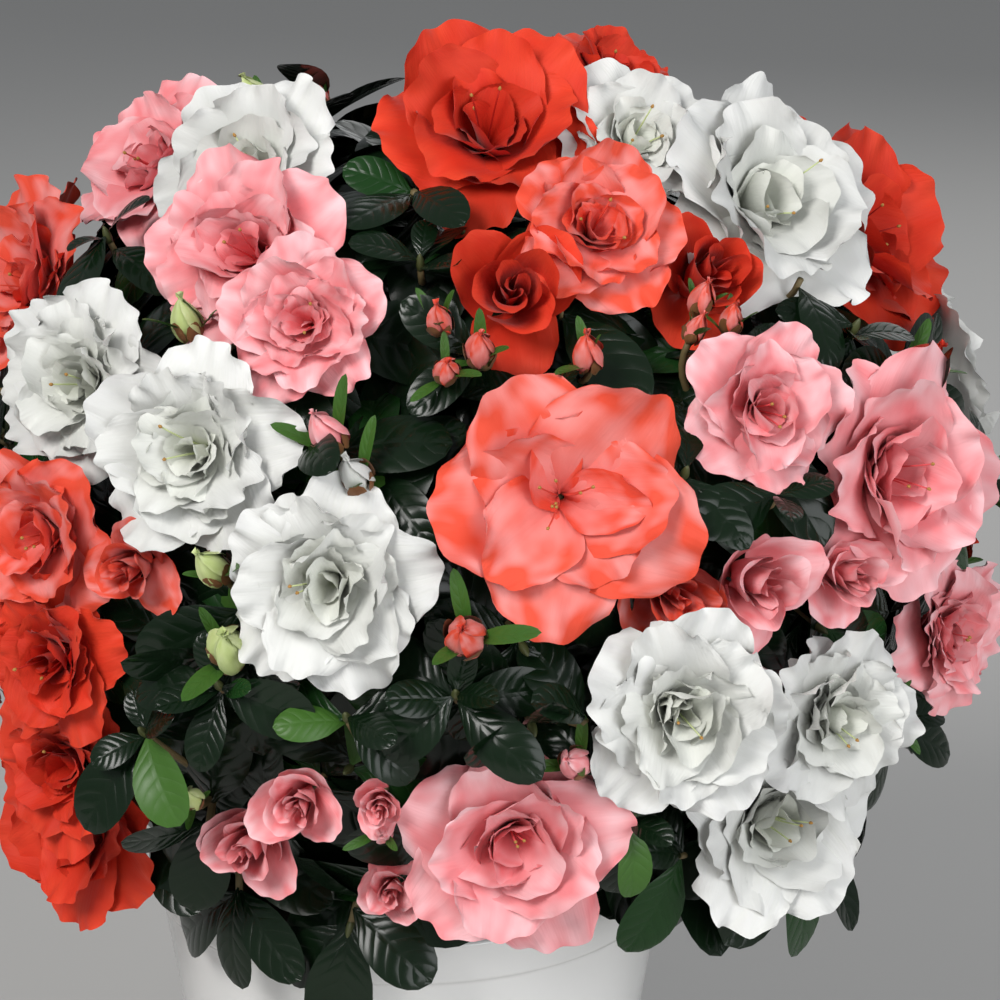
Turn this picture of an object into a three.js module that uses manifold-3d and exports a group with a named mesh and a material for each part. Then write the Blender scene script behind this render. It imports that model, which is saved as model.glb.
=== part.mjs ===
// A potted azalea in full bloom. Four short stems rise from the soil of a round white planter and fork into
// boughs, which carry a dome of dark leaves and double flowers in white, pink, coral and red.
// Millimetres, +Z up. The origin is the centre of the planter's flat underside, and -Y is the front.
import * as THREE from "three";
import { mergeVertices } from "three/addons/utils/BufferGeometryUtils.js";
import Module from "manifold-3d";

const wasm = await Module();
wasm.setup();

// Planter and soil
const potHeight = 135;
const rimRadius = 77.5;
const footRadius = 55;
const potWall = 4;
const potFloor = 6;
const footBevel = 3;
const rimBand = 14;
const bandProud = 1.5;
const potSides = 32;
const soilTop = 121;
const soilDome = 3;
const soilSides = 20;
const clearance = 0.3;

// Crown: flowers face out of a dome, and shares run from 0 at its centre to 1 on it
const crownCentre = new THREE.Vector3(15, 0, 235);
const crownRadii = new THREE.Vector3(150, 138, 132);
const skyLean = 0.62;
const lowLean = -0.15;
const lightWay = new THREE.Vector3(0, -1, 0.1);
const lightLean = 0.45;
const boughShare = 0.36;
const forkShare = 0.58;
const siteShare = 0.8;

// Stems and boughs
const stemTurns = [-45, 45, 135, -135];
const stemRing = 15;
const stemSpread = 6;
const stemLean = 4.5;
const stemTop = 172;
const stemSize = { foot: 5.2, tip: 3.6, flare: 1.7, sides: 7, steps: 4 };
const boughSize = { foot: 3, tip: 2.3, flare: 0, sides: 5, steps: 3 };
const massStemSize = { foot: 2.3, tip: 1.8, flare: 0, sides: 5, steps: 2 };
const lowestBough = 0.45;
const highestSideBough = 0.93;
const boughLift = 35;
const boughBend = 0.45;
const massStemBend = 0.5;
const flareFade = 9;
const limbSteady = new THREE.Vector3(0.3, 0.9, 0.1);

// Twigs of the shoots, and the places on them that keep clear of limbs and planter
const twigRadius = 1.25;
const twigSides = 3;
const twigMiddle = 0.35;
const twigSag = 0.08;
const outerTwig = [0.3, 0.45, 0.6, 0.75, 0.9, 1];

// Cores of the masses
const coreInner = 0.4;
const coreCentre = 0.58;
const coreOuter = 0.76;
const coreReach = 50;
const coreMargin = 4;
const coreSides = 7;
const coreLevels = 5;

// Leaves: the outline's corners are shares of the length, along the leaf and across it
const leafLengths = [36, 46];
const leafOutline = [
  [0.55, -0.24],
  [1, 0],
  [0.55, 0.24],
];
const leavesRound = 5;
const leafThick = 4;
const leafRoot = 3;
const leafDroop = 0.25;
const leafSpacing = 6;
const leafSizes = [1, 0.8, 0.64];
const lowerRosette = 18;
const upperRosette = 6;
const flatRises = [-0.05, 0.25];
const steepRises = [0.25, 0.7];

// Shoots that the list of flowers below doesn't name
const domeShoots = 74;
const lowestShoot = -36;
const highestShoot = 80;
const lowestFlower = -30;
const highestFlower = 46;
const flowerSizes = [53, 65];
const flowerCrowding = 0.34;
const leafCrowding = 0.16;
const backTurn = 96;
const lowRight = { turn: 84, height: 12 };
const lowLeft = { turn: -66, height: 16 };
const leafyShares = [0.86, 0.98];
const skirtShoots = 20;
const skirtHeights = [-49, -38];
const skirtShares = [0.98, 1.06];
const goldenTurn = 137.508;
const shootSeed = 77;

// Masses: name, turn round the crown from the front towards +X, height angle, and the colour of its flowers
const masses = [
  ["top", 10, 74, "red"],
  ["upper_front", 23, 45, "coral"],
  ["upper_left", -30, 46, "pink"],
  ["upper_right", 76, 43, "white"],
  ["upper_back_right", 132, 42, "pink"],
  ["upper_back_left", -144, 42, "white"],
  ["upper_side_left", -87, 42, "coral"],
  ["front_left", -40, 17, "white"],
  ["front_centre", 1, 14, "coral"],
  ["front_right", 46, 12, "pink"],
  ["low_left", -52, -20, "red"],
  ["low_front", -9, -25, "pink"],
  ["low_right", 35, -18, "white"],
  ["side_right", 92, -8, "red"],
  ["back_right", 138, -8, "white"],
  ["back", -176, -8, "coral"],
  ["back_left", -132, -8, "pink"],
  ["side_left", -92, -8, "white"],
].map(([name, turn, height, colour]) => ({ name, turn, height, colour }));

// Flowers of the front and top: form, turn, height angle and diameter
const listedFlowers = [
  ["full", 8, 68, 62],
  ["full", 110, 72, 46],
  ["full", 44, 63, 46],
  ["full", 62, 50, 70],
  ["full", 22, 50, 46],
  ["half", 8, 42.5, 38],
  ["half", 38, 42.5, 36],
  ["full", 87, 40, 72],
  ["full", -45, 58, 54],
  ["full", -76, 54, 52],
  ["full", -32, 46, 56],
  ["full", -19, 38, 44],
  ["full", -79, 34, 58],
  ["full", -48, 27, 54],
  ["full", -29, 22, 56],
  ["full", -48, 9, 50],
  ["half", -35, 8, 26],
  ["full", 11.5, 18, 66],
  ["half", 23, 6, 30],
  ["full", -12.5, 9, 56],
  ["full", 36, 26, 44],
  ["full", 54, 15, 66],
  ["half", 32, 6, 37],
  ["half", 44, 5, 27],
  ["full", 66, -8, 45],
  ["full", 23, -7, 58],
  ["full", 43, -12, 52],
  ["full", 39, -26, 58],
  ["full", 6, -22.5, 60],
  ["half", -25, -26, 32],
  ["half", -17, -18, 28],
  ["half", -8, -17, 18],
  ["half", -8, -31, 20],
  ["full", -46, -5, 48],
  ["full", -49, -20, 50],
  ["full", -60, -34, 58],
].map(([form, turn, height, size]) => ({ form, turn, height, size, share: 1, lean: lightLean }));

// Flower forms: rings of petals from the outside in, as shares of the flower's radius. A full flower spreads
// an outer ring round a raised inner one, and a half-open one is a deep cup. Its base is sunk below its face.
const petalCount = 5;
const petalReaches = [0.94, 1.06];
const flowerForms = {
  full: {
    perPetal: 3,
    rings: [
      { reach: 1, height: 0.5, notch: 0.72, wave: 0.1, shift: 0 },
      { reach: 0.62, height: 0.42, notch: 0.9, wave: 0.02, shift: 1 },
      { reach: 0.5, height: 0.8, notch: 0.62, wave: 0.08, shift: 1 },
    ],
    heart: 0.5,
    sunk: 0.6,
  },
  half: {
    perPetal: 2,
    rings: [
      { reach: 0.8, height: 1.1, notch: 0.8, wave: 0.1, shift: 0 },
      { reach: 0.4, height: 1.35, notch: 0.7, wave: 0.06, shift: 1 },
    ],
    heart: 0.9,
    sunk: 1.24,
  },
};

const colours = {
  white: "#f4f3ee",
  pink: "#ee9aa0",
  coral: "#f0705c",
  red: "#cf2f1c",
  bark: "#6b4a33",
  glaze: "#ecebea",
  soil: "#3a2a20",
};
const roughness = { glaze: 0.18, bark: 0.8, soil: 0.95, blossom: 0.7 };

// Park and Miller's generator: the same seed always gives the same draws.
const drawMultiplier = 16807;
const drawModulus = 2147483647;
function seededDraws(seed) {
  let state = seed;
  return ([low, high]) => {
    state = (state * drawMultiplier) % drawModulus;
    return low + ((high - low) * state) / drawModulus;
  };
}

const fullTurn = 2 * Math.PI;
const radians = THREE.MathUtils.degToRad;
const degrees = THREE.MathUtils.radToDeg;

// The unit direction at a turn round the crown and a height angle, both in degrees.
function direction(turn, height) {
  const [a, e] = [radians(turn), radians(height)];
  return new THREE.Vector3(Math.sin(a) * Math.cos(e), -Math.cos(a) * Math.cos(e), Math.sin(e));
}

// The place at a share of the way from the crown's centre to its dome.
function inCrown(way, share) {
  return way.clone().multiply(crownRadii).multiplyScalar(share).add(crownCentre);
}

// The closed solid of a geometry, with the vertices along its seams merged.
function solidOf(geometry) {
  geometry.deleteAttribute("normal");
  geometry.deleteAttribute("uv");
  const merged = mergeVertices(geometry, 1e-4);
  const vertProperties = merged.attributes.position.array;
  const triVerts = new Uint32Array(merged.index.array);
  return new wasm.Manifold(new wasm.Mesh({ numProp: 3, vertProperties, triVerts }));
}

// Joins a list of solids two by two, so that no join has a large side before the end.
function joinAll(solids) {
  let left = solids;
  while (left.length > 1) {
    const firsts = left.filter((_, i) => i % 2 === 0);
    left = firsts.map((solid, i) => (2 * i + 1 < left.length ? solid.add(left[2 * i + 1]) : solid));
  }
  return left[0];
}

// The largest of a solid's separate bodies.
function largestOf(solid) {
  return solid.decompose().reduce((a, b) => (a.volume() >= b.volume() ? a : b));
}

function meshOf(solid, name, colour, rough) {
  const { numProp, numVert, vertProperties, triVerts } = solid.getMesh();
  const places = new Float32Array(numVert * 3);
  for (let i = 0; i < numVert; i++) places.set(vertProperties.subarray(i * numProp, i * numProp + 3), i * 3);
  const geometry = new THREE.BufferGeometry();
  geometry.setAttribute("position", new THREE.BufferAttribute(places, 3));
  geometry.setIndex(new THREE.BufferAttribute(triVerts, 1));
  geometry.computeVertexNormals();
  const look = { color: colours[colour], roughness: roughness[rough], metalness: 0 };
  const mesh = new THREE.Mesh(geometry, new THREE.MeshStandardMaterial(look));
  mesh.name = name;
  return mesh;
}

// Moves each vertex of a geometry by a function of its place.
function reshape(geometry, move) {
  const places = geometry.attributes.position;
  const p = new THREE.Vector3();
  for (let i = 0; i < places.count; i++) {
    const moved = move(p.fromBufferAttribute(places, i));
    places.setXYZ(i, moved.x, moved.y, moved.z);
  }
  return geometry;
}

// The planter's slanting outside at a height, without the band under its rim.
function potRadiusAt(z) {
  return footRadius + ((rimRadius - bandProud - footRadius) * z) / potHeight;
}

// A solid of revolution about Z from a profile of radius and height, listed upwards along its outside.
function upright(profile, sides) {
  const points = profile.map(([r, z]) => new THREE.Vector2(r, z));
  return solidOf(new THREE.LatheGeometry(points, sides).rotateX(Math.PI / 2));
}

// The planter: a tapering wall with a plain band under its rim, open at the top, on a flat foot.
function planter() {
  const bandFoot = potHeight - rimBand;
  return upright(
    [
      [0, 0],
      [footRadius - footBevel, 0],
      [potRadiusAt(footBevel), footBevel],
      [potRadiusAt(bandFoot), bandFoot],
      [potRadiusAt(bandFoot) + bandProud, bandFoot + bandProud],
      [rimRadius, potHeight - 1],
      [rimRadius - 1, potHeight],
      [rimRadius - potWall + 1, potHeight],
      [rimRadius - potWall, potHeight - 1],
      [potRadiusAt(potFloor) - potWall, potFloor],
      [0, potFloor],
    ],
    potSides,
  );
}

// The soil fills the planter up to a low dome, clear of its wall, whose flat sides cut inside the circle.
function soilFill() {
  const flatSide = Math.cos(Math.PI / potSides);
  const innerAt = (z) => (potRadiusAt(z) - potWall - clearance) * flatSide - clearance;
  return upright(
    [
      [0, potFloor + clearance],
      [innerAt(potFloor), potFloor + clearance],
      [innerAt(soilTop - soilDome), soilTop - soilDome],
      [innerAt(soilTop) * 0.6, soilTop],
      [0, soilTop],
    ],
    soilSides,
  );
}

// A limb: a cylinder bent along a curve, tapering, with a flare at its foot. It can be grown on all sides.
function limbSolid(curve, { foot, tip, flare, sides, steps }, grown = 0) {
  const geometry = new THREE.CylinderGeometry(1, 1, 1, sides, steps);
  return solidOf(
    reshape(geometry, (p) => {
      const t = p.y + 0.5;
      const along = curve.getTangent(t);
      const side = limbSteady.clone().cross(along).normalize();
      const radius = foot + (tip - foot) * t + flare * Math.exp(-flareFade * t) + grown;
      const beyond = t < 0.01 ? -grown : t > 0.99 ? grown : 0;
      return curve
        .getPoint(t)
        .addScaledVector(along, beyond)
        .addScaledVector(side, p.x * radius)
        .addScaledVector(side.clone().cross(along), p.z * radius);
    }),
  );
}

// Stems: one rises from each quarter of the clump and leans outwards.
function stemCurve(turn) {
  const way = direction(turn, 0);
  const foot = way.clone().multiplyScalar(stemRing).setZ(soilTop + clearance);
  const bend = way.clone().multiplyScalar(stemRing + 1).setZ((soilTop + stemTop) / 2);
  const tip = way.clone().multiplyScalar(stemRing + stemSpread).setZ(stemTop);
  return new THREE.QuadraticBezierCurve3(foot, bend, tip.setX(tip.x + stemLean));
}

function turnBetween(a, b) {
  return Math.abs(((a - b + 540) % 360) - 180);
}

// Each mass hangs on the stem nearest in turn. The higher it is, the further up the stem its bough leaves,
// and the highest one's bough carries on from the stem's tip.
const stems = stemTurns.map((turn) => ({ turn, curve: stemCurve(turn), carried: [] }));
for (const mass of masses) {
  mass.way = direction(mass.turn, mass.height);
  mass.site = inCrown(mass.way, siteShare);
  mass.fork = inCrown(mass.way, forkShare);
  mass.shoots = [];
  const nearer = (a, b) => (turnBetween(a.turn, mass.turn) <= turnBetween(b.turn, mass.turn) ? a : b);
  stems.reduce(nearer).carried.push(mass);
}
for (const { curve, carried } of stems) {
  carried.sort((a, b) => a.height - b.height);
  carried.forEach((mass, i) => {
    mass.onTip = i === carried.length - 1;
    const share = lowestBough + ((highestSideBough - lowestBough) * i) / (carried.length - 2);
    const end = curve.getTangent(1);
    const foot = mass.onTip ? curve.getPoint(1).addScaledVector(end, clearance) : curve.getPoint(share);
    const tip = inCrown(mass.way, boughShare);
    const leave = mass.onTip ? end : direction(mass.turn, boughLift);
    const bend = foot.clone().addScaledVector(leave, foot.distanceTo(tip) * boughBend);
    mass.bough = new THREE.QuadraticBezierCurve3(foot, bend, tip);
  });
}

// The space that a mass keeps to: every place nearer to its site than to another mass's, less the clearance.
function spaceOf(mass) {
  return masses
    .filter((other) => other !== mass)
    .map(({ site }) => {
      const normal = site.clone().sub(mass.site).normalize();
      const middle = site.clone().add(mass.site).multiplyScalar(0.5);
      return { normal, limit: normal.dot(middle) - clearance };
    });
}

// Draws a point back towards another until no wall of a space cuts it off.
function drawnBack(walls, from, point) {
  const step = point.clone().sub(from);
  let share = 1;
  for (const { normal, limit } of walls) {
    const speed = normal.dot(step);
    if (speed > 0) share = Math.min(share, (limit - normal.dot(from)) / speed);
  }
  return from.clone().addScaledVector(step, Math.max(share, 0.05));
}

// Places along the limbs, which other masses' twigs and leaves keep clear of.
const limbPlaces = [];
const limbPlaceCount = 14;
function markLimb(curve, radius, owner) {
  const shares = Array.from({ length: limbPlaceCount + 1 }, (_, i) => i / limbPlaceCount);
  limbPlaces.push(...shares.map((t) => ({ place: curve.getPoint(t), radius, owner })));
}

const limbRoom = 1.2;
function touchesLimb(point, mass) {
  const near = ({ place, radius }) => place.distanceTo(point) < radius + limbRoom;
  return limbPlaces.some((limb) => limb.owner !== mass && near(limb));
}

const potRoom = 3;
function touchesPot(point) {
  return Math.hypot(point.x, point.y) < rimRadius + potRoom && point.z < potHeight + potRoom;
}

// Shoots: the listed flowers, then tips spread over the dome by the golden turn. Behind and at the sides each
// tip with room bears a flower, and the others are leafy. Last comes a skirt of leafy tips over the rim.
const shoots = [...listedFlowers];
const shootDraw = seededDraws(shootSeed);
function addShoot(turn, height, shares, mayFlower) {
  const way = direction(turn, height);
  const nearFlower = (angle) =>
    shoots.some((other) => way.angleTo(direction(other.turn, other.height)) < radians(angle * other.size));
  const share = shootDraw(shares);
  const size = shootDraw(flowerSizes);
  const place = { turn, height, lean: 0 };
  if (mayFlower && !nearFlower(flowerCrowding)) shoots.push({ ...place, form: "full", size, share: 1 });
  else if (!nearFlower(leafCrowding)) shoots.push({ ...place, form: "leafy", size: 0, share });
}
function isUnlisted(turn, height) {
  const right = turn > lowRight.turn && height < lowRight.height;
  const left = turn < lowLeft.turn && height < lowLeft.height;
  const bears = height > lowestFlower && height < highestFlower;
  return bears && (Math.abs(turn) > backTurn || right || left);
}
for (let i = 0; i < domeShoots; i++) {
  const [low, high] = [Math.sin(radians(lowestShoot)), Math.sin(radians(highestShoot))];
  const height = degrees(Math.asin(low + ((high - low) * (i + 0.5)) / domeShoots));
  const turn = ((i * goldenTurn + 180) % 360) - 180;
  addShoot(turn, height, leafyShares, isUnlisted(turn, height));
}
for (let i = 0; i < skirtShoots; i++) {
  addShoot((i * 360) / skirtShoots - 180, shootDraw(skirtHeights), skirtShares, false);
}

// A shoot faces outwards, leaning less to the sky than the dome does, and up a little where the dome faces
// down. The listed flowers also lean to the light in front. The mass of the nearest site bears the shoot.
for (const shoot of shoots) {
  const way = direction(shoot.turn, shoot.height);
  const end = inCrown(way, shoot.share);
  const sunk = shoot.form === "leafy" ? 0 : (flowerForms[shoot.form].sunk * shoot.size) / 2;
  shoot.way = way;
  const square = way.clone().divide(crownRadii).normalize();
  square.z *= square.z > 0 ? skyLean : lowLean;
  shoot.face = square.normalize().addScaledVector(lightWay, shoot.lean).normalize();
  shoot.tip = end.clone().addScaledVector(shoot.face, -sunk);
  const nearer = (a, b) => (a.site.distanceTo(end) <= b.site.distanceTo(end) ? a : b);
  masses.reduce(nearer).shoots.push(shoot);
}

// Whether a place lies among the petals of a flower: over a shallow cone, as wide as it and under its top.
const coneFoot = 0.5;
const coneSlope = 0.3;
const coneTop = 0.45;
function touchesFlower(point) {
  return shoots.some(({ tip, face, size }) => {
    const from = point.clone().sub(tip);
    const up = from.dot(face);
    const out = Math.sqrt(Math.max(0, from.lengthSq() - up * up));
    return out < size / 2 && up > coneSlope * out + coneFoot && up < size * coneTop;
  });
}

// A frame along an axis: the axis and two directions square to it, the first also square to a steady one.
function frameOf(axis, steady) {
  const side = steady.clone().cross(axis).normalize();
  return { axis, side, other: axis.clone().cross(side) };
}

// The corner at a turn round a frame, a distance out from its axis and a height up it.
function cornerIn(frame, centre, turn, out, up) {
  const point = centre
    .clone()
    .addScaledVector(frame.side, Math.cos(turn) * out)
    .addScaledVector(frame.other, Math.sin(turn) * out)
    .addScaledVector(frame.axis, up);
  return { turn: ((turn % fullTurn) + fullTurn) % fullTurn, point };
}

function byTurn(corners) {
  return corners.sort((a, b) => a.turn - b.turn);
}

// A closed surface through rings of corners in the order of their turns. The rings may differ in their number
// of corners, and the first and last are single ones.
function loft(rings) {
  const triangles = [];
  const nextTurn = (ring, i) => ring[(i + 1) % ring.length].turn + (i + 1 < ring.length ? 0 : fullTurn);
  let start = 0;
  for (let level = 0; level + 1 < rings.length; level++) {
    const [low, high] = [rings[level], rings[level + 1]];
    const above = start + low.length;
    let [i, j] = [0, 0];
    while (i < low.length || j < high.length) {
      const onLow = j === high.length || (i < low.length && nextTurn(low, i) <= nextTurn(high, j));
      const [here, there] = [start + (i % low.length), above + (j % high.length)];
      if (onLow && low.length > 1) triangles.push(here, start + ((i + 1) % low.length), there);
      if (!onLow && high.length > 1) triangles.push(here, above + ((j + 1) % high.length), there);
      if (onLow) i++;
      else j++;
    }
    start = above;
  }
  const points = rings.flat().map(({ point }) => point);
  return new THREE.BufferGeometry().setFromPoints(points).setIndex(triangles);
}

// Places on the leaves grown so far, which a new rosette's leaves keep away from.
const leafPlaces = [];
const probeShares = [0.35, 0.55, 0.75, 1];
function touchesLeaf(point) {
  return leafPlaces.some((place) => place.distanceTo(point) < leafSpacing);
}

// The corners of one leaf that grows out of a twig at a turn round it.
function leafCorners(frame, centre, turn, length, rise) {
  return leafOutline.map(([along, across]) => {
    const up = length * along * (rise - leafDroop * along);
    return cornerIn(frame, centre, turn + Math.atan2(across, along), length * Math.hypot(along, across), up);
  });
}

// A rosette's ring: leaves round a twig, joined at their roots. A leaf without room is tried shorter, and one
// that still leaves the space or touches something is left out.
function leafRing(frame, centre, rises, isClear, draw) {
  const spin = draw([0, fullTurn]);
  const corners = [];
  const kept = [];
  for (let i = 0; i < leavesRound; i++) {
    const turn = spin + (i / leavesRound) * fullTurn;
    const length = draw(leafLengths);
    const rise = draw(rises);
    corners.push(cornerIn(frame, centre, turn - fullTurn / leavesRound / 2, leafRoot, 0));
    for (const share of leafSizes) {
      const leaf = leafCorners(frame, centre, turn, length * share, rise);
      const probes = leaf.flatMap(({ point }) => probeShares.map((part) => centre.clone().lerp(point, part)));
      if (probes.some((point) => touchesLeaf(point) || !isClear(point))) continue;
      corners.push(...leaf);
      kept.push(...probes);
      break;
    }
  }
  leafPlaces.push(...kept);
  return byTurn(corners);
}

// A ring of petals round a flower's axis, with a notch between petals and a seeded ruffle on each.
function petalRing(frame, base, radius, perPetal, { reach, height, notch, wave, shift }, spin, draw) {
  const sides = petalCount * perPetal;
  const corners = Array.from({ length: sides }, (_, i) => {
    const parted = (i + shift) % perPetal === 0;
    const out = reach * (parted ? notch : draw(petalReaches));
    const up = height + draw([-wave, wave]) - (parted ? wave : 0);
    return cornerIn(frame, base, spin + (i / sides) * fullTurn, radius * out, radius * up);
  });
  return byTurn(corners);
}

// The rings of a flower on its twig's tip, drawn back into the space of its mass.
function flowerRings({ form, face, size }, base, frame, space, draw) {
  const { perPetal, rings, heart } = flowerForms[form];
  const spin = draw([0, fullTurn]);
  const petals = rings.map((ring) => petalRing(frame, base, size / 2, perPetal, ring, spin, draw));
  const top = [{ turn: 0, point: base.clone().addScaledVector(face, (size / 2) * heart) }];
  const drawn = ({ turn, point }) => ({ turn, point: drawnBack(space, base, point) });
  return [...petals, top].map((ring) => ring.map(drawn));
}

// A shoot is one closed surface: its twig, the rosettes that it passes through, and its flower or leafy tip.
const steepest = 0.8;
function shootSolid(shoot, fork, space, isClear, draw) {
  const { way, face, tip } = shoot;
  const bend = fork.clone().lerp(tip, 0.5).addScaledVector(way, -twigSag * fork.distanceTo(tip));
  const twig = new THREE.QuadraticBezierCurve3(fork, bend, tip);
  const outer = outerTwig.map((t) => twig.getPoint(t));
  if (outer.some((point) => touchesPot(point) || touchesLimb(point, null))) return null;
  const steady = Math.abs(face.z) < steepest ? new THREE.Vector3(0, 0, 1) : new THREE.Vector3(1, 0, 0);
  const length = twig.getLength();
  const twigRing = (t) => {
    const frame = frameOf(twig.getTangent(t), steady);
    const turns = Array.from({ length: twigSides }, (_, i) => (i / twigSides) * fullTurn);
    return byTurn(turns.map((turn) => cornerIn(frame, twig.getPoint(t), turn, twigRadius, 0)));
  };
  const rosette = (fromTip, rises) => {
    const t = 1 - fromTip / length;
    const ring = leafRing(frameOf(twig.getTangent(t), steady), twig.getPoint(t), rises, isClear, draw);
    const half = leafThick / 2 / length;
    return ring.length > leavesRound ? [twigRing(t - half), ring, twigRing(t + half)] : [];
  };
  const rings = [[{ turn: 0, point: fork }], twigRing(twigMiddle)];
  if (shoot.form === "leafy") {
    const leaves = [...rosette(lowerRosette, flatRises), ...rosette(upperRosette, steepRises)];
    rings.push(...leaves, [{ turn: 0, point: tip }]);
  } else {
    const flower = flowerRings(shoot, tip, frameOf(face, steady), space, draw);
    rings.push(...rosette(upperRosette, flatRises), twigRing(1), ...flower);
  }
  return solidOf(loft(rings));
}

// The distance along a ray from a place inside the crown to its dome, drawn in to a share.
function toDome(from, ray, share) {
  const start = from.clone().sub(crownCentre).divide(crownRadii).divideScalar(share);
  const step = ray.clone().divide(crownRadii).divideScalar(share);
  const b = start.dot(step);
  return (-b + Math.sqrt(b * b - step.lengthSq() * (start.lengthSq() - 1))) / step.lengthSq();
}

// The core: the dense inner part of a mass, a rounded block inside its space and clear of all limbs.
function coreOf(mass, space) {
  const centre = inCrown(mass.way, coreCentre);
  const inward = mass.way.clone().negate().divide(crownRadii).normalize();
  const walls = space.map(({ normal, limit }) => ({ normal, limit: limit - coreMargin }));
  walls.push({ normal: inward, limit: inward.dot(inCrown(mass.way, coreInner)) });
  const block = reshape(new THREE.SphereGeometry(1, coreSides, coreLevels), (ray) => {
    const reach = Math.min(coreReach, toDome(centre, ray, coreOuter));
    return drawnBack(walls, centre, centre.clone().addScaledVector(ray, reach));
  });
  return limbs.reduce((left, { grown }) => left.subtract(grown), solidOf(block));
}

// One mass: a stem that carries on from its bough, a core, and a shoot to each tip.
function massSolid(mass, seed) {
  const space = spaceOf(mass);
  const draw = seededDraws(seed);
  const along = mass.bough.getTangent(1);
  const foot = mass.bough.getPoint(1).addScaledVector(along, clearance);
  const bend = foot.clone().addScaledVector(along, foot.distanceTo(mass.fork) * massStemBend);
  const stem = new THREE.QuadraticBezierCurve3(foot, bend, mass.fork);
  const inSpace = (point) => space.every(({ normal, limit }) => normal.dot(point) < limit);
  const touches = (point) => touchesPot(point) || touchesLimb(point, mass) || touchesFlower(point);
  const isClear = (point) => inSpace(point) && !touches(point);
  const tried = mass.shoots.map((shoot) => shootSolid(shoot, mass.fork, space, isClear, draw));
  const grown = tried.filter(Boolean);
  const others = limbs.filter(({ owner }) => owner !== mass);
  const whole = joinAll([limbSolid(stem, massStemSize), coreOf(mass, space), ...grown]);
  return largestOf(others.reduce((left, limb) => left.subtract(limb.grown), whole));
}

const group = new THREE.Group();
group.add(meshOf(planter(), "planter", "glaze", "glaze"));
group.add(meshOf(soilFill(), "soil", "soil", "soil"));

// Limbs: a stem is whole. A bough is cut clear of the boughs before it, and of the stems if it leaves a side.
const limbs = [];
function addLimb(name, owner, curve, size, cutBy) {
  const whole = cutBy.reduce((left, other) => left.subtract(other.grown), limbSolid(curve, size));
  limbs.push({ owner, grown: limbSolid(curve, size, clearance) });
  markLimb(curve, size.foot, owner);
  group.add(meshOf(largestOf(whole), name, "bark", "bark"));
}
stems.forEach(({ curve }, i) => addLimb(`stem_${i + 1}`, null, curve, stemSize, []));
for (const mass of masses) {
  const cutBy = mass.onTip ? limbs.filter(({ owner }) => owner) : limbs;
  addLimb(`bough_${mass.name}`, mass, mass.bough, boughSize, cutBy);
}

const firstSeed = 1009;
const seedStep = 97;
masses.forEach((mass, i) => {
  group.add(meshOf(massSolid(mass, firstSeed + seedStep * i), `mass_${mass.name}`, mass.colour, "blossom"));
});

export default group;
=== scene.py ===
import bpy
import numpy as np
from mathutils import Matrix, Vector


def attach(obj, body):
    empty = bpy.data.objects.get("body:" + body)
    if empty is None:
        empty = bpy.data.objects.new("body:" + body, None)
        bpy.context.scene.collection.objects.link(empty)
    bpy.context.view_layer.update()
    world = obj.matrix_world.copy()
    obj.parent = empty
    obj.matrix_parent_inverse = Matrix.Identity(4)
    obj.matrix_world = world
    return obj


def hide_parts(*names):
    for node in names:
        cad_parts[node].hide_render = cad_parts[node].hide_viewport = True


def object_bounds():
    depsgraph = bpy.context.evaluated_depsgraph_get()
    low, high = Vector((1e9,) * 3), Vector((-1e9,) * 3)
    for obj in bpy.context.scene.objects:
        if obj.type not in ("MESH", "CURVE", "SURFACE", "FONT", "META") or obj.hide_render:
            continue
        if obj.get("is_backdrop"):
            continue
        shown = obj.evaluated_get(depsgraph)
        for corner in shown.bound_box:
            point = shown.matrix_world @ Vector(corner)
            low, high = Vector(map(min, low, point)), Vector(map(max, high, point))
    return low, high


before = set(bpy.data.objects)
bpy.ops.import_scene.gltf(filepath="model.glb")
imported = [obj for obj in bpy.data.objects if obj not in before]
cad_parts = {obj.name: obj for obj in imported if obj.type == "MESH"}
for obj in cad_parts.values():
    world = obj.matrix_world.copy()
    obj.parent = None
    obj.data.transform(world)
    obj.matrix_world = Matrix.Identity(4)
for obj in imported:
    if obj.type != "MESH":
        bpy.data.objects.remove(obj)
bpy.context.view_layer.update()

# The planter: a tapering round pot with a plain band under its rim, slip-cast and fired with a smooth
# white glaze. It stands on its flat foot, and carries everything else. All sizes are in millimetres.
pot_height, rim_radius, foot_radius, pot_wall, pot_floor = 135.0, 77.5, 55.0, 4.0, 6.0
rim_band, band_proud, foot_bevel = 14.0, 1.5, 3.0


def skin(rings, start, end):
    """Points and faces of a closed skin: rings of points (rows, count, 3), each row running anticlockwise about
    the way from the first row to the last, joined row to row by quads and closed at both ends by fans."""
    rows, count = rings.shape[:2]
    number = np.arange(rows * count).reshape(rows, count)
    after = np.roll(number, -1, 1)
    quads = np.stack([number[:-1], after[:-1], after[1:], number[1:]], -1).reshape(-1, 4)
    first, last = np.full(count, rows * count), np.full(count, rows * count + 1)
    fans = [np.stack([first, after[0], number[0]], -1), np.stack([last, number[-1], after[-1]], -1)]
    return np.concatenate([rings.reshape(-1, 3), [start, end]]), [quads, np.concatenate(fans)]


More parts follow.
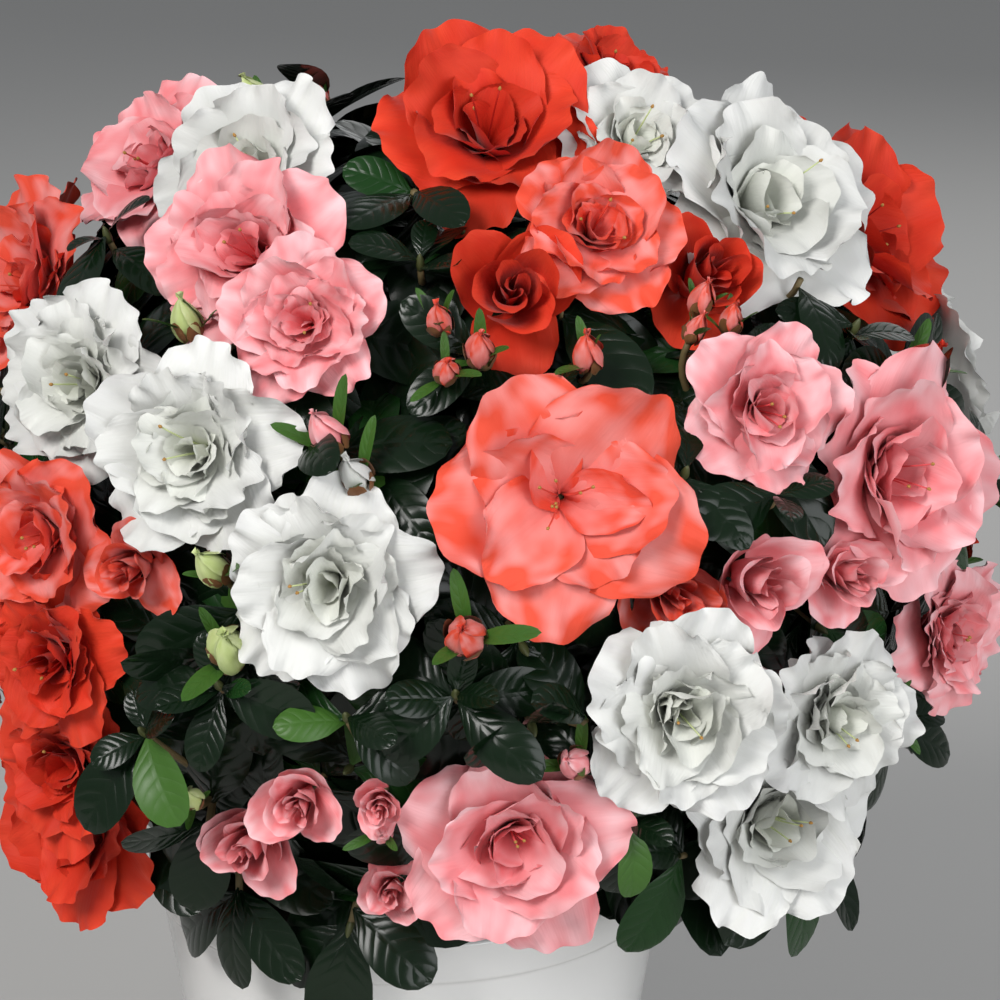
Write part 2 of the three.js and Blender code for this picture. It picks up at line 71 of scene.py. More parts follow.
def piece(name, points, faces, material, slot, uv=None, values=None, nodes=()):
    """A smooth mesh piece from whole arrays in millimetres: points, lists of faces of equal corner count, a UV
    place and named values for each point. It rides on the one body and stands for the given CAD nodes."""
    mesh = bpy.data.meshes.new(name)
    corners = np.concatenate([f.ravel() for f in faces]).astype(np.int32)
    totals = np.concatenate([np.full(len(f), f.shape[1]) for f in faces])
    mesh.vertices.add(len(points))
    mesh.vertices.foreach_set("co", (np.asarray(points) * 0.001).astype(np.float32).ravel())
    mesh.loops.add(len(corners))
    mesh.loops.foreach_set("vertex_index", corners)
    mesh.polygons.add(len(totals))
    mesh.polygons.foreach_set("loop_start", (np.cumsum(totals) - totals).astype(np.int32))
    mesh.polygons.foreach_set("use_smooth", np.ones(len(totals), bool))
    if uv is not None:
        layer = mesh.uv_layers.new(name="shape")
        layer.data.foreach_set("uv", uv[corners].astype(np.float32).ravel())
    for key, value in (values or {}).items():
        mesh.attributes.new(key, "FLOAT", "POINT").data.foreach_set("value", value.astype(np.float32))
    mesh.update(calc_edges=True)
    mesh.materials.append(material)
    made = bpy.data.objects.new(name, mesh)
    bpy.context.scene.collection.objects.link(made)
    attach(made, "root")
    if nodes:
        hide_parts(*nodes)


def finish(name, base, roughness, **inputs):
    """A Principled material with plain values on the shader's own sockets; returns its nodes too."""
    material = bpy.data.materials.new(name)
    material.use_nodes = True
    tree = material.node_tree
    shader = tree.nodes["Principled BSDF"]
    shader.inputs["Base Color"].default_value = (*base, 1)
    shader.inputs["Roughness"].default_value = roughness
    for key, value in inputs.items():
        shader.inputs[key.replace("_", " ").title().replace("Ior", "IOR")].default_value = value
    return material, tree, shader


def node(tree, kind, *, nested=None, **inputs):
    """A shader node, or a nested node group placed as one: each named input is linked from another node's
    output, or set to a plain value."""
    made = tree.nodes.new(f"ShaderNode{kind}")
    if nested:
        made.node_tree = nested
    for key, value in inputs.items():
        socket = made.inputs[key.replace("_", " ")]
        if isinstance(value, bpy.types.NodeSocket):
            tree.links.new(value, socket)
        else:
            socket.default_value = value
    return made


def group(name, inputs, outputs):
    """A shader node group with named inputs (kind and first value) and outputs (kind)."""
    made = bpy.data.node_groups.new(name, "ShaderNodeTree")
    for key, (kind, value) in inputs.items():
        socket = made.interface.new_socket(name=key, in_out="INPUT", socket_type=f"NodeSocket{kind}")
        socket.default_value = value
    for key, kind in outputs.items():
        made.interface.new_socket(name=key, in_out="OUTPUT", socket_type=f"NodeSocket{kind}")
    return made, made.nodes.new("NodeGroupInput").outputs, made.nodes.new("NodeGroupOutput").inputs


def turned(profile, sides, relief=None):
    """A solid of revolution about Z: each profile point (radius, height) swept through a full turn. The first
    and last points lie on the axis. The relief, if any, moves the ring points."""
    turn = np.arange(sides) / sides * 2 * np.pi
    inner = np.array(profile[1:-1])
    rings = np.stack([inner[:, :1] * np.cos(turn), inner[:, :1] * np.sin(turn), inner[:, 1:] + 0 * turn], -1)
    if relief is not None:
        rings = rings + relief(rings)
    return skin(rings, [0, 0, profile[0][1]], [0, 0, profile[-1][1]])


def pot_radius(z):
    """The radius of the wall's slanting outside without its band: it grows evenly with height from the foot's
    radius to the rim's less the band."""
    return foot_radius + (rim_radius - band_proud - foot_radius) * z / pot_height


def rounded(profile, reach, steps=5):
    """A profile with its corners rounded: near each corner the points follow the curve whose three handles are
    the corner and the places a reach before and after it."""
    points = [np.array(p, float) for p in profile]
    made = [points[0]]
    for before, corner, after in zip(points, points[1:], points[2:]):
        into, out = before - corner, after - corner
        near = min(reach, np.linalg.norm(into) * 0.45, np.linalg.norm(out) * 0.45)
        a, b = corner + into / np.linalg.norm(into) * near, corner + out / np.linalg.norm(out) * near
        made += [(1 - t) ** 2 * a + 2 * t * (1 - t) * corner + t * t * b for t in np.linspace(0, 1, steps)]
    return [tuple(p) for p in made + [points[-1]]]


# Grain of glaze, soil and bark: noise on Object coordinates, drawn out along Z by an upright factor below 1,
# with the relief that it raises.
grain, into, out_of = group(
    "grain",
    {key: ("Float", 1.0) for key in ("Scale", "Detail", "Upright", "Strength", "Distance")},
    {"Value": "Float", "Normal": "Vector"},
)
coordinates = node(grain, "TexCoord").outputs["Object"]
drawn_out = node(grain, "CombineXYZ", X=1.0, Y=1.0, Z=into["Upright"]).outputs["Vector"]
grain_place = node(grain, "Mapping", Vector=coordinates, Scale=drawn_out).outputs["Vector"]
noise = node(grain, "TexNoise", Vector=grain_place, Scale=into["Scale"], Detail=into["Detail"]).outputs["Fac"]
raised = node(grain, "Bump", Strength=into["Strength"], Distance=into["Distance"], Height=noise)
grain.links.new(noise, out_of["Value"])
grain.links.new(raised.outputs["Normal"], out_of["Normal"])


def add_grain(tree, shader, scale, detail, strength, distance, upright=1.0, tones=None):
    """Places the grain in a material: its relief shapes the surface, and its value runs the base colour between
    two tones, if given, each with its place on the value's scale."""
    values = dict(Scale=scale, Detail=detail, Upright=upright, Strength=strength, Distance=distance)
    pattern = node(tree, "Group", nested=grain, **values).outputs
    tree.links.new(pattern["Normal"], shader.inputs["Normal"])
    if tones:
        ramp = node(tree, "ValToRGB", Fac=pattern["Value"])
        for end, (place, colour) in zip(ramp.color_ramp.elements, tones):
            end.position, end.color = place, (*colour, 1)
        tree.links.new(ramp.outputs["Color"], shader.inputs["Base Color"])


glaze, tree, shader = finish("white_glaze", (0.84, 0.84, 0.825), 0.16, coat_weight=0.35, coat_roughness=0.08)
add_grain(tree, shader, scale=90, detail=3, strength=0.12, distance=0.0004)
band_foot = pot_height - rim_band
pot_profile = [
    (0, 0),
    (foot_radius - foot_bevel, 0),
    (pot_radius(foot_bevel), foot_bevel),
    (pot_radius(band_foot), band_foot),
    (pot_radius(band_foot) + band_proud, band_foot + band_proud),
    (rim_radius, pot_height - 1),
    (rim_radius - 1, pot_height),
    (rim_radius - pot_wall + 1, pot_height),
    (rim_radius - pot_wall, pot_height - 1),
    (pot_radius(pot_floor) - pot_wall, pot_floor),
    (0, pot_floor),
]
points, faces = turned(rounded(pot_profile, 1.6), 128)
piece("planter_glazed", points, faces, glaze, "glaze", nodes=["planter"])

# The soil: moist dark peat, filled in loose and pressed down by watering, up to a low dome clear of the
# wall. Its top is crumbly.
soil_top, soil_dome, clearance = 121.0, 3.0, 0.3
crumb_count, crumb_sizes, crumb_height, crumb_sink = 500, (1.2, 4), 0.7, 0.8


def crumbs(rings):
    """Height of loose crumbs on the top: the sum of round bumps at seeded places, each of which falls off as
    exp(-(distance / size)^2)."""
    rng = np.random.default_rng(5)
    places, sizes = rng.uniform(-70, 70, (crumb_count, 2)), rng.uniform(*crumb_sizes, crumb_count)
    away = np.linalg.norm(rings[..., None, :2] - places, axis=-1)
    bumps = (sizes * 0.45 * np.exp(-((away / sizes) ** 2))).sum(-1)
    on_top = rings[..., 2] > soil_top - soil_dome - 0.1
    return np.stack([0 * bumps, 0 * bumps, np.where(on_top, bumps * crumb_height - crumb_sink, 0)], -1)


soil_mix, tree, shader = finish("moist_peat", (0.05, 0.035, 0.025), 0.95)
peat_tones = [(0, (0.012, 0.008, 0.006)), (1, (0.11, 0.075, 0.05))]
add_grain(tree, shader, scale=420, detail=6, strength=0.8, distance=0.0012, tones=peat_tones)
soil_edge = pot_radius(soil_top - soil_dome) - pot_wall - 2 * clearance
soil_floor = pot_radius(pot_floor) - pot_wall - 2 * clearance
soil_profile = [(0, pot_floor + clearance), (soil_floor, pot_floor + clearance)]
soil_profile += [(soil_edge, soil_top - soil_dome)]
soil_profile += [(soil_edge * s, soil_top - soil_dome * s**3) for s in np.linspace(0.97, 0.03, 34)]
points, faces = turned(soil_profile + [(0, soil_top)], 120, crumbs)
piece("soil_crumbs", points, faces, soil_mix, "soil", nodes=["soil"])

# Stems and boughs: four woody stems rise from the soil and fork into boughs, one for each mass of the crown.
# The bark is thin, grey-brown and slightly ridged, with the rings of old leaf scars.
crown_centre, crown_radii = np.array([15.0, 0, 235]), np.array([150.0, 138, 132])
stem_turns, stem_ring, stem_spread, stem_lean, stem_top = [-45, 45, 135, -135], 15, 6, 4.5, 172
lowest_bough, highest_side_bough, bough_lift, bough_bend = 0.45, 0.93, 35, 0.45
bough_share, fork_share, site_share, mass_stem_bend = 0.36, 0.58, 0.8, 0.5
masses = [
    ("top", 10, 74), ("upper_front", 23, 45), ("upper_left", -30, 46),
    ("upper_right", 76, 43), ("upper_back_right", 132, 42), ("upper_back_left", -144, 42),
    ("upper_side_left", -87, 42), ("front_left", -40, 17), ("front_centre", 1, 14),
    ("front_right", 46, 12), ("low_left", -52, -20), ("low_front", -9, -25),
    ("low_right", 35, -18), ("side_right", 92, -8), ("back_right", 138, -8),
    ("back", -176, -8), ("back_left", -132, -8), ("side_left", -92, -8),
]
mass_names = [name for name, _, _ in masses]


def direction(turn, height):
    """Unit directions at turns round the crown from the front towards +X and at height angles, in degrees."""
    a, e = np.radians(turn), np.radians(height)
    return np.stack([np.sin(a) * np.cos(e), -np.cos(a) * np.cos(e), np.sin(e)], -1)


def in_crown(way, share):
    """Places at a share of the way from the crown's centre to its dome."""
    return crown_centre + way * crown_radii * np.asarray(share)[..., None]


def unit(vectors):
    """Vectors scaled to length 1."""
    return vectors / np.linalg.norm(vectors, axis=-1, keepdims=True)


def along(curves, t):
    """Places and unit tangents on quadratic Bezier curves (n, 3 handles, 3) at shares t, the same ones for all
    or a row for each curve: the blend of the handles by (1-t)^2, 2t(1-t) and t^2, and its slope."""
    t = np.atleast_2d(np.asarray(t, float))[..., None]
    a, b, c = (curves[:, None, i] for i in range(3))
    slope = (1 - t) * (b - a) + t * (c - b)
    return (1 - t) ** 2 * a + 2 * t * (1 - t) * b + t * t * c, unit(slope)


def square_to(axis, steady):
    """Two unit directions square to an axis and to each other, the first square to a steady one as well."""
    side = unit(np.cross(steady, axis))
    return side, np.cross(axis, side)


# A direction that hardly any limb runs along, from which the turns round them are counted.
askew = np.array([0.3, 0.9, 0.1])


def joined(parts):
    """One list of points and faces from several."""
    starts = np.cumsum([0] + [len(p) for p, _ in parts])
    kinds = range(len(parts[0][1]))
    return np.concatenate([p for p, _ in parts]), [
        np.concatenate([faces[k] + s for (_, faces), s in zip(parts, starts)]) for k in kinds
    ]


def limbs(curves, foot, tip, rows, sides, ridge, seed, flare=0):
    """Closed tubes round curves: the radius runs evenly from foot to tip, with a flare that dies away from the
    foot, low ridges that wander round the bark and rings at the old leaf scars. One ring of points per row."""
    rng = np.random.default_rng(seed)
    t = np.linspace(0, 1, rows)
    middle, way = along(curves, t)
    side, other = square_to(way, askew)
    turn = np.arange(sides) / sides * 2 * np.pi
    phase = rng.uniform(0, 6.3, (len(curves), 4, 1, 1))
    twist = turn[None, None] + 1.5 * t[None, :, None]
    bark = np.sin(3 * twist + phase[:, 0]) + 0.7 * np.sin(5 * twist - 9 * t[None, :, None] + phase[:, 1])
    bark = bark + 0.5 * np.sin(2 * twist + 21 * t[None, :, None] + phase[:, 2])
    scars = np.maximum(0, np.sin(38 * t[None, :, None] + phase[:, 3])) ** 6
    base = (foot + (tip - foot) * t + flare * np.exp(-9 * t))[None, :, None]
    radius = (base * (1 + ridge * (0.3 * bark + 0.6 * scars)))[..., None]
    ring_side, ring_other = np.cos(turn)[None, None, :, None], np.sin(turn)[None, None, :, None]
    rings = middle[:, :, None] + radius * (side[:, :, None] * ring_side + other[:, :, None] * ring_other)
    return joined([skin(r, m[0], m[-1]) for r, m in zip(rings, middle)])


turns, heights = np.array([m[1] for m in masses], float), np.array([m[2] for m in masses], float)
mass_ways = direction(turns, heights)
sites, forks = in_crown(mass_ways, site_share), in_crown(mass_ways, fork_share)
stem_curves = []
for turn in stem_turns:
    way = direction(turn, 0)
    foot, bend, tip = way * stem_ring, way * (stem_ring + 1), way * (stem_ring + stem_spread)
    foot[2], bend[2], tip[2] = soil_top - 2, (soil_top + stem_top) / 2, stem_top
    tip[0] += stem_lean
    stem_curves.append([foot, bend, tip])
stem_curves = np.array(stem_curves)
apart = np.abs((np.array(stem_turns)[:, None] - turns[None] + 540) % 360 - 180)
bearer = apart.argmin(0)
bough_curves, mass_stems = np.zeros((len(masses), 3, 3)), np.zeros((len(masses), 3, 3))
for s, curve in enumerate(stem_curves):
    carried = sorted(np.flatnonzero(bearer == s), key=lambda m: heights[m])
    for i, m in enumerate(carried):
        on_tip = i == len(carried) - 1
        share = 1 if on_tip else lowest_bough + (highest_side_bough - lowest_bough) * i / (len(carried) - 2)
        place, tangent = along(curve[None], [share])
        leave = tangent[0, 0] if on_tip else direction(turns[m], bough_lift)
        foot, tip = place[0, 0], in_crown(mass_ways[m], bough_share)
        bough_curves[m] = foot, foot + leave * np.linalg.norm(tip - foot) * bough_bend, tip
for m in range(len(masses)):
    end, way = bough_curves[m, 2], unit(bough_curves[m, 2] - bough_curves[m, 1])
    bend = end + way * np.linalg.norm(forks[m] - end) * mass_stem_bend
    mass_stems[m] = end - way * 2, bend, forks[m]

bark, tree, shader = finish("thin_bark", (0.17, 0.11, 0.07), 0.8)
bark_tones = [(0.3, (0.05, 0.03, 0.02)), (0.75, (0.26, 0.18, 0.12))]
add_grain(tree, shader, scale=700, detail=5, strength=0.7, distance=0.0006, upright=0.25, tones=bark_tones)
stem_skin = limbs(stem_curves, foot=5.2, tip=3.6, rows=40, sides=20, ridge=0.09, seed=11, flare=1.7)
bough_skin = limbs(bough_curves, foot=3.0, tip=2.3, rows=40, sides=14, ridge=0.08, seed=12)
points, faces = joined([stem_skin, bough_skin])
limb_nodes = [f"stem_{i + 1}" for i in range(len(stem_turns))] + [f"bough_{name}" for name in mass_names]
piece("stems_and_boughs", points, faces, bark, "bark", nodes=limb_nodes)

# Twigs: in each mass slender shoots of one or two years' growth run from the fork out to the crown's face,
# each to a flower or a leafy tip, and send out short side shoots. Green-brown above, woody below.
golden_turn, dome_shoots, lowest_shoot, highest_shoot = 137.508, 74, -36, 80
lowest_flower, highest_flower, flower_sizes = -30, 46, (53, 65)
leafy_shares, flower_crowding, leaf_crowding = (0.86, 0.98), 0.34, 0.16
skirt_shoots, skirt_heights, skirt_shares, shoot_seed = 20, (-49, -38), (0.98, 1.06), 77
sky_lean, low_lean, light_lean, light_way = 0.62, -0.15, 0.45, np.array([0, -1, 0.1])
sunk = {"double": 0.6, "broad": 0.6, "open": 0.6, "rose": 1.24, "tucked": 1.7, "leafy": 0}
twig_sag, side_reach = 0.08, 0.9
# How far the shoots over the pot, those of them that show over the rim in front, and the leafy ones at the
# top have grown, as a share of the way to the crown's face.
low_height, rim_turns, top_height = -35, (-8, 45), 70
low_grown, rim_grown, top_grown = 0.86, 0.62, 0.6
# Where no flower is listed: behind a turn to either side, and below a height past the turns of two corners.
back_turn, right_corner, left_corner = 96, (84, 12), (-66, 16)

# Flowers of the front and top: colour, form, turn round the crown, height angle and diameter.
flowers = [
    ("red", "broad", 8, 68, 62), ("red", "double", 110, 72, 46), ("white", "broad", 44, 63, 46),
    ("white", "broad", 62, 50, 70), ("coral", "broad", 22, 50, 46), ("red", "rose", 8, 42.5, 38),
    ("red", "rose", 38, 42.5, 36), ("red", "broad", 87, 40, 72), ("white", "broad", -45, 58, 54),
    ("pink", "broad", -76, 54, 52), ("pink", "double", -32, 46, 56), ("pink", "double", -19, 38, 44),
    ("coral", "broad", -79, 34, 58), ("white", "double", -48, 27, 54), ("white", "double", -29, 22, 56),
    ("coral", "broad", -48, 9, 50), ("coral", "rose", -35, 8, 26), ("coral", "open", 11.5, 18, 66),
    ("coral", "tucked", 23, 6, 30), ("white", "double", -12.5, 9, 56), ("pink", "broad", 36, 26, 44),
    ("pink", "broad", 54, 15, 66), ("pink", "rose", 32, 6, 37), ("pink", "rose", 44, 5, 27),
    ("pink", "double", 66, -8, 45), ("white", "double", 23, -7, 58), ("white", "double", 43, -12, 52),
    ("white", "broad", 39, -26, 58), ("pink", "broad", 6, -22.5, 60), ("pink", "rose", -25, -26, 32),
    ("pink", "rose", -17, -18, 28), ("pink", "rose", -8, -17, 18), ("pink", "rose", -8, -31, 20),
    ("red", "double", -46, -5, 48), ("red", "double", -49, -20, 50), ("red", "broad", -60, -34, 58),
]
keys = ("colour", "form", "turn", "height", "size")
shoots = [{**dict(zip(keys, flower)), "share": 1.0, "lean": light_lean} for flower in flowers]
behind_colours = ["white", "pink", "coral", "white", "pink", "red"]
state = shoot_seed


def draw(low, high):
    """The next of the seeded draws that the solids use: the state times 16807, modulo 2^31 - 1."""
    global state
    state = state * 16807 % 2147483647
    return low + (high - low) * state / 2147483647


def add_shoot(turn, height, shares, may_flower):
    """A tip bears a flower where it may and no other tip crowds it, and else is leafy where it has room."""
    way = direction(turn, height)
    share, size = draw(*shares), draw(*flower_sizes)
    near = [np.degrees(np.arccos(np.clip(way @ direction(s["turn"], s["height"]), -1, 1))) for s in shoots]
    room = lambda crowding: all(n >= crowding * s["size"] for n, s in zip(near, shoots))
    if may_flower and room(flower_crowding):
        colour = behind_colours[len(shoots) % len(behind_colours)]
        form = ("double", "broad")[len(shoots) % 2]
        shoots.append(dict(colour=colour, form=form, turn=turn, height=height, size=size, share=1.0, lean=0))
    elif room(leaf_crowding):
        shoots.append(dict(colour=None, form="leafy", turn=turn, height=height, size=0, share=share, lean=0))


low, high = np.sin(np.radians(lowest_shoot)), np.sin(np.radians(highest_shoot))
for i in range(dome_shoots):
    height = np.degrees(np.arcsin(low + (high - low) * (i + 0.5) / dome_shoots))
    turn = (i * golden_turn + 180) % 360 - 180
    unlisted = abs(turn) > back_turn or (turn > right_corner[0] and height < right_corner[1])
    unlisted = unlisted or (turn < left_corner[0] and height < left_corner[1])
    add_shoot(turn, height, leafy_shares, unlisted and lowest_flower < height < highest_flower)
for i in range(skirt_shoots):
    height = draw(*skirt_heights)
    add_shoot(i * 360 / skirt_shoots - 180, height, skirt_shares, False)

ways = direction([s["turn"] for s in shoots], [s["height"] for s in shoots])
ends = in_crown(ways, [s["share"] for s in shoots])
shoot_turns, shoot_heights = np.array([s["turn"] for s in shoots]), np.array([s["height"] for s in shoots])
face_ways = unit(ways / crown_radii)
face_ways[:, 2] *= np.where(face_ways[:, 2] > 0, sky_lean, low_lean)
face_ways = unit(unit(face_ways) + light_way * np.array([s["lean"] for s in shoots])[:, None])
depths = np.array([sunk[s["form"]] * s["size"] / 2 for s in shoots])
tips = ends - face_ways * depths[:, None]
owners = np.linalg.norm(ends[:, None] - sites[None], axis=-1).argmin(1)
sizes = np.array([s["size"] for s in shoots], float)
span = np.linalg.norm(tips - forks[owners], axis=1, keepdims=True)
bends = (forks[owners] + tips) / 2 - ways * twig_sag * span
low_tips = shoot_heights < low_height
rim_in_view = low_tips & (shoot_turns > rim_turns[0]) & (shoot_turns < rim_turns[1])
grown_share = np.where(rim_in_view, rim_grown, np.where(low_tips, low_grown, 1.0))
grown_share = np.where((shoot_heights > top_height) & (sizes == 0), top_grown, grown_share)[:, None]
tips = along(np.stack([forks[owners], bends, tips], 1), grown_share)[0][:, 0]
bends = forks[owners] + (bends - forks[owners]) * grown_share
twigs = np.stack([forks[owners], bends, tips], 1)


def side_twigs(curves, share, reach, seed):
    """Short side shoots: each leaves its twig at a share, at a seeded turn round it and half along it, and
    bends back to run alongside."""
    rng = np.random.default_rng(seed)
    place, way = along(curves, [share])
    place, way = place[:, 0], way[:, 0]
    side, other = square_to(way, askew)
    turn = rng.uniform(0, 2 * np.pi, (len(curves), 1))
    out = np.cos(turn) * side + np.sin(turn) * other
    length = rng.uniform(0.7, 1.1, (len(curves), 1)) * reach
    bend, tip = place + (out + 0.6 * way) * length * 0.45, place + (0.8 * out + 1.1 * way) * length * 0.75
    return np.stack([place, bend, tip], 1)


side_curves = np.concatenate(
    [side_twigs(twigs, share=0.5, reach=26, seed=21), side_twigs(twigs, share=0.72, reach=24, seed=22)]
)
side_owners = np.concatenate([owners, owners])
side_ends = side_curves[:, 2]
inside = np.linalg.norm((side_ends - crown_centre) / crown_radii, axis=1) < side_reach
over_pot = (np.hypot(side_ends[:, 0], side_ends[:, 1]) < rim_radius + 8) & (side_ends[:, 2] < pot_height + 8)
kept = inside & ~over_pot
side_curves, side_owners = side_curves[kept], side_owners[kept]

shoot_bark, tree, shader = finish("young_bark", (0.16, 0.12, 0.05), 0.6)
add_grain(tree, shader, scale=260, detail=4, strength=0.5, distance=0.0004)
for m, name in enumerate(mass_names):
    mine, mine_aside = twigs[owners == m], side_curves[side_owners == m]
    grown = [
        limbs(mass_stems[m : m + 1], foot=2.3, tip=1.8, rows=12, sides=10, ridge=0.06, seed=30 + m),
        limbs(mine, foot=1.5, tip=1.05, rows=14, sides=7, ridge=0.06, seed=60 + m),
        limbs(mine_aside, foot=0.95, tip=0.6, rows=7, sides=6, ridge=0.05, seed=90 + m),
    ]
    points, faces = joined(grown)
    piece(f"twigs_{name}", points, faces, shoot_bark, "bark", nodes=[f"mass_{name}"])

# Leaves: leathery, elliptic and short-stalked, dark glossy green above with sunken veins, in rosettes round
# the twigs below each flower and at each leafy tip. Young ones are mid green and softer.
blade_rows, blade_columns = 10, 5
blade_shares = 1 - (1 - np.linspace(0, 1, blade_rows)) ** 1.4


def blades(roots, way, top, length, width, droop, fold, curl):
    """Leaf blades (count, rows, columns, 3). The midrib leaves its root along a way and droops through an
    even bend; the half-width follows (1 - s)^0.55 s^0.7, widest past the middle and blunt at the tip, from a
    short stalk; the halves fold up from the midrib and the margins curl."""
    s = blade_shares[None, :, None]
    u = np.linspace(-1, 1, blade_columns)[None, None, :]
    length, width, droop, fold, curl = (np.asarray(a)[:, None, None] for a in (length, width, droop, fold, curl))
    side = unit(np.cross(way, top))
    bent = droop * s
    forward = length * np.sin(bent) / droop
    down = length * (np.cos(bent) - 1) / droop
    blade = np.clip((s - 0.08) / 0.92, 0, 1)
    half = length * width * (2.36 * (1 - blade) ** 0.55 * blade**0.7 + 0.045 * (1 - s) ** 0.5)
    across = u * half
    rise = half * (fold * np.abs(u) - curl * u**4)
    vector = lambda a: np.asarray(a)[:, None, None, :]
    normal = vector(top) * np.cos(bent)[..., None] + vector(way) * np.sin(bent)[..., None]
    return (
        vector(roots)
        + vector(way) * (forward + 0 * u)[..., None]
        + vector(top) * (down + 0 * u)[..., None]
        + vector(side) * across[..., None]
        + normal * rise[..., None]
    )


def sheet_faces(rows, columns, count):
    """Quads between neighbouring rows and columns of a number of grids, numbered one grid after the other."""
    number = np.arange(rows * columns).reshape(rows, columns)
    quads = np.stack([number[:-1, :-1], number[:-1, 1:], number[1:, 1:], number[1:, :-1]], -1).reshape(-1, 4)
    return (quads[None] + (np.arange(count) * rows * columns)[:, None, None]).reshape(-1, 4)


def spray(roots, way, top, length):
    """The leaves of all centres in one list: roots, ways, upper sides and lengths."""
    return roots.reshape(-1, 3), way.reshape(-1, 3), top.reshape(-1, 3), length.ravel()


def rosettes(centres, axes, count, lengths, rises, sunward, seed):
    """Leaves round twigs: evenly spaced round each axis from a seeded turn, each rising from the square to the
    axis by a seeded angle. The upper sides turn out of the crown and up by a share, the leaves twisting with
    them. Returns roots, ways, upper sides and lengths."""
    rng = np.random.default_rng(seed)
    side, other = square_to(axes, np.array([0.31, 0.52, 0.79]))
    turn = rng.uniform(0, 6.3, (len(centres), 1)) + np.arange(count) / count * 2 * np.pi
    turn = (turn + rng.uniform(-0.25, 0.25, turn.shape))[..., None]
    out = np.cos(turn) * side[:, None] + np.sin(turn) * other[:, None]
    rise = rng.uniform(*rises, turn.shape)
    way = out * np.cos(rise) + axes[:, None] * np.sin(rise)
    top = axes[:, None] * np.cos(rise) - out * np.sin(rise)
    outwards = (centres - crown_centre) / crown_radii**2
    outwards = unit(unit(outwards) * np.array([1, 1, 0.8]) + np.array([0, 0, 0.25]))[:, None]
    top = unit((1 - sunward) * top + sunward * outwards + rng.normal(0, 0.12, top.shape))
    way = unit(way - top * (way * top).sum(-1, keepdims=True))
    length = rng.uniform(*lengths, turn.shape[:2])
    step = rng.uniform(-2.5, 2.5, turn.shape)
    roots = centres[:, None] + axes[:, None] * step + way * 0.8
    return spray(roots, way, top, length)


def below_tip(curves, distance):
    """The place and the way of each twig at a distance back from its tip."""
    length = np.linalg.norm(curves[:, 2] - curves[:, 0], axis=1)
    place, way = along(curves, np.clip(1 - distance / length, 0.1, 1)[:, None])
    return place[:, 0], way[:, 0]


def hanging(centres, count, lengths, seed):
    """Leaves that hang round low tips: their ways fan out evenly about the way out of the crown and sink by a
    seeded angle, and their upper sides turn out and a little up."""
    rng = np.random.default_rng(seed)
    out = unit((centres - crown_centre) * np.array([1, 1, 0]))[:, None]
    beside, down = np.cross([0, 0, 1.0], out), np.array([0, 0, -1.0])
    fan = (np.linspace(-1.2, 1.2, count) + rng.uniform(-0.25, 0.25, (len(centres), count)))[..., None]
    sink = rng.uniform(0.75, 1.35, fan.shape)
    way = unit(np.sin(fan) * beside * 0.8 + np.cos(fan) * (out * np.cos(sink) + down * np.sin(sink)))
    top = out * 0.9 - down * 0.45 + rng.normal(0, 0.15, way.shape)
    top = unit(top - way * (way * top).sum(-1, keepdims=True))
    roots = centres[:, None] + way * 0.8 + down * rng.uniform(-5, 3, fan.shape)
    length = rng.uniform(*lengths, fan.shape[:2])
    return spray(roots, way, top, length)


def from_nearest_twig(places, ways):
    """Curves of short stalks to places, each from near the tip of the nearest twig, ending along a way."""
    starts = along(twigs, [0.78])[0][:, 0]
    start = starts[np.linalg.norm(places[:, None] - starts[None], axis=-1).argmin(1)]
    bend = places - ways * np.linalg.norm(places - start, axis=1, keepdims=True) * 0.5
    return np.stack([start, bend, places + ways * 0.6], 1)


# Tufts of leaves that stand in front between the flowers: turn, height angle and share of the dome.
tufts = np.array(
    [
        (35, 16, 1.0), (13, -7, 0.99), (15, -15, 1.0), (19, -21, 1.0), (-24, -4, 1.0), (-34, -12, 1.0),
        (-14, 21, 0.88), (25, 20, 0.98), (55, 40, 0.98), (59, 32, 0.98), (11, 32, 0.92), (-6, 49, 0.92),
        (-65, 44, 0.98), (-11, -7, 0.98), (0, -4, 0.97), (29, -31, 0.98), (71, -24, 0.96), (39, 31, 0.96),
    ]
)
tuft_ways = direction(tufts[:, 0], tufts[:, 1])
tuft_places = in_crown(tuft_ways, tufts[:, 2] * 0.97)
tuft_axes = unit(unit(tuft_ways / crown_radii) * 0.6 + np.array([0, -0.1, 0.7]))
tuft_owners = np.linalg.norm(tuft_places[:, None] - sites[None], axis=-1).argmin(1)
flowering = sizes > 0
upper_leafy = ~flowering & ~low_tips
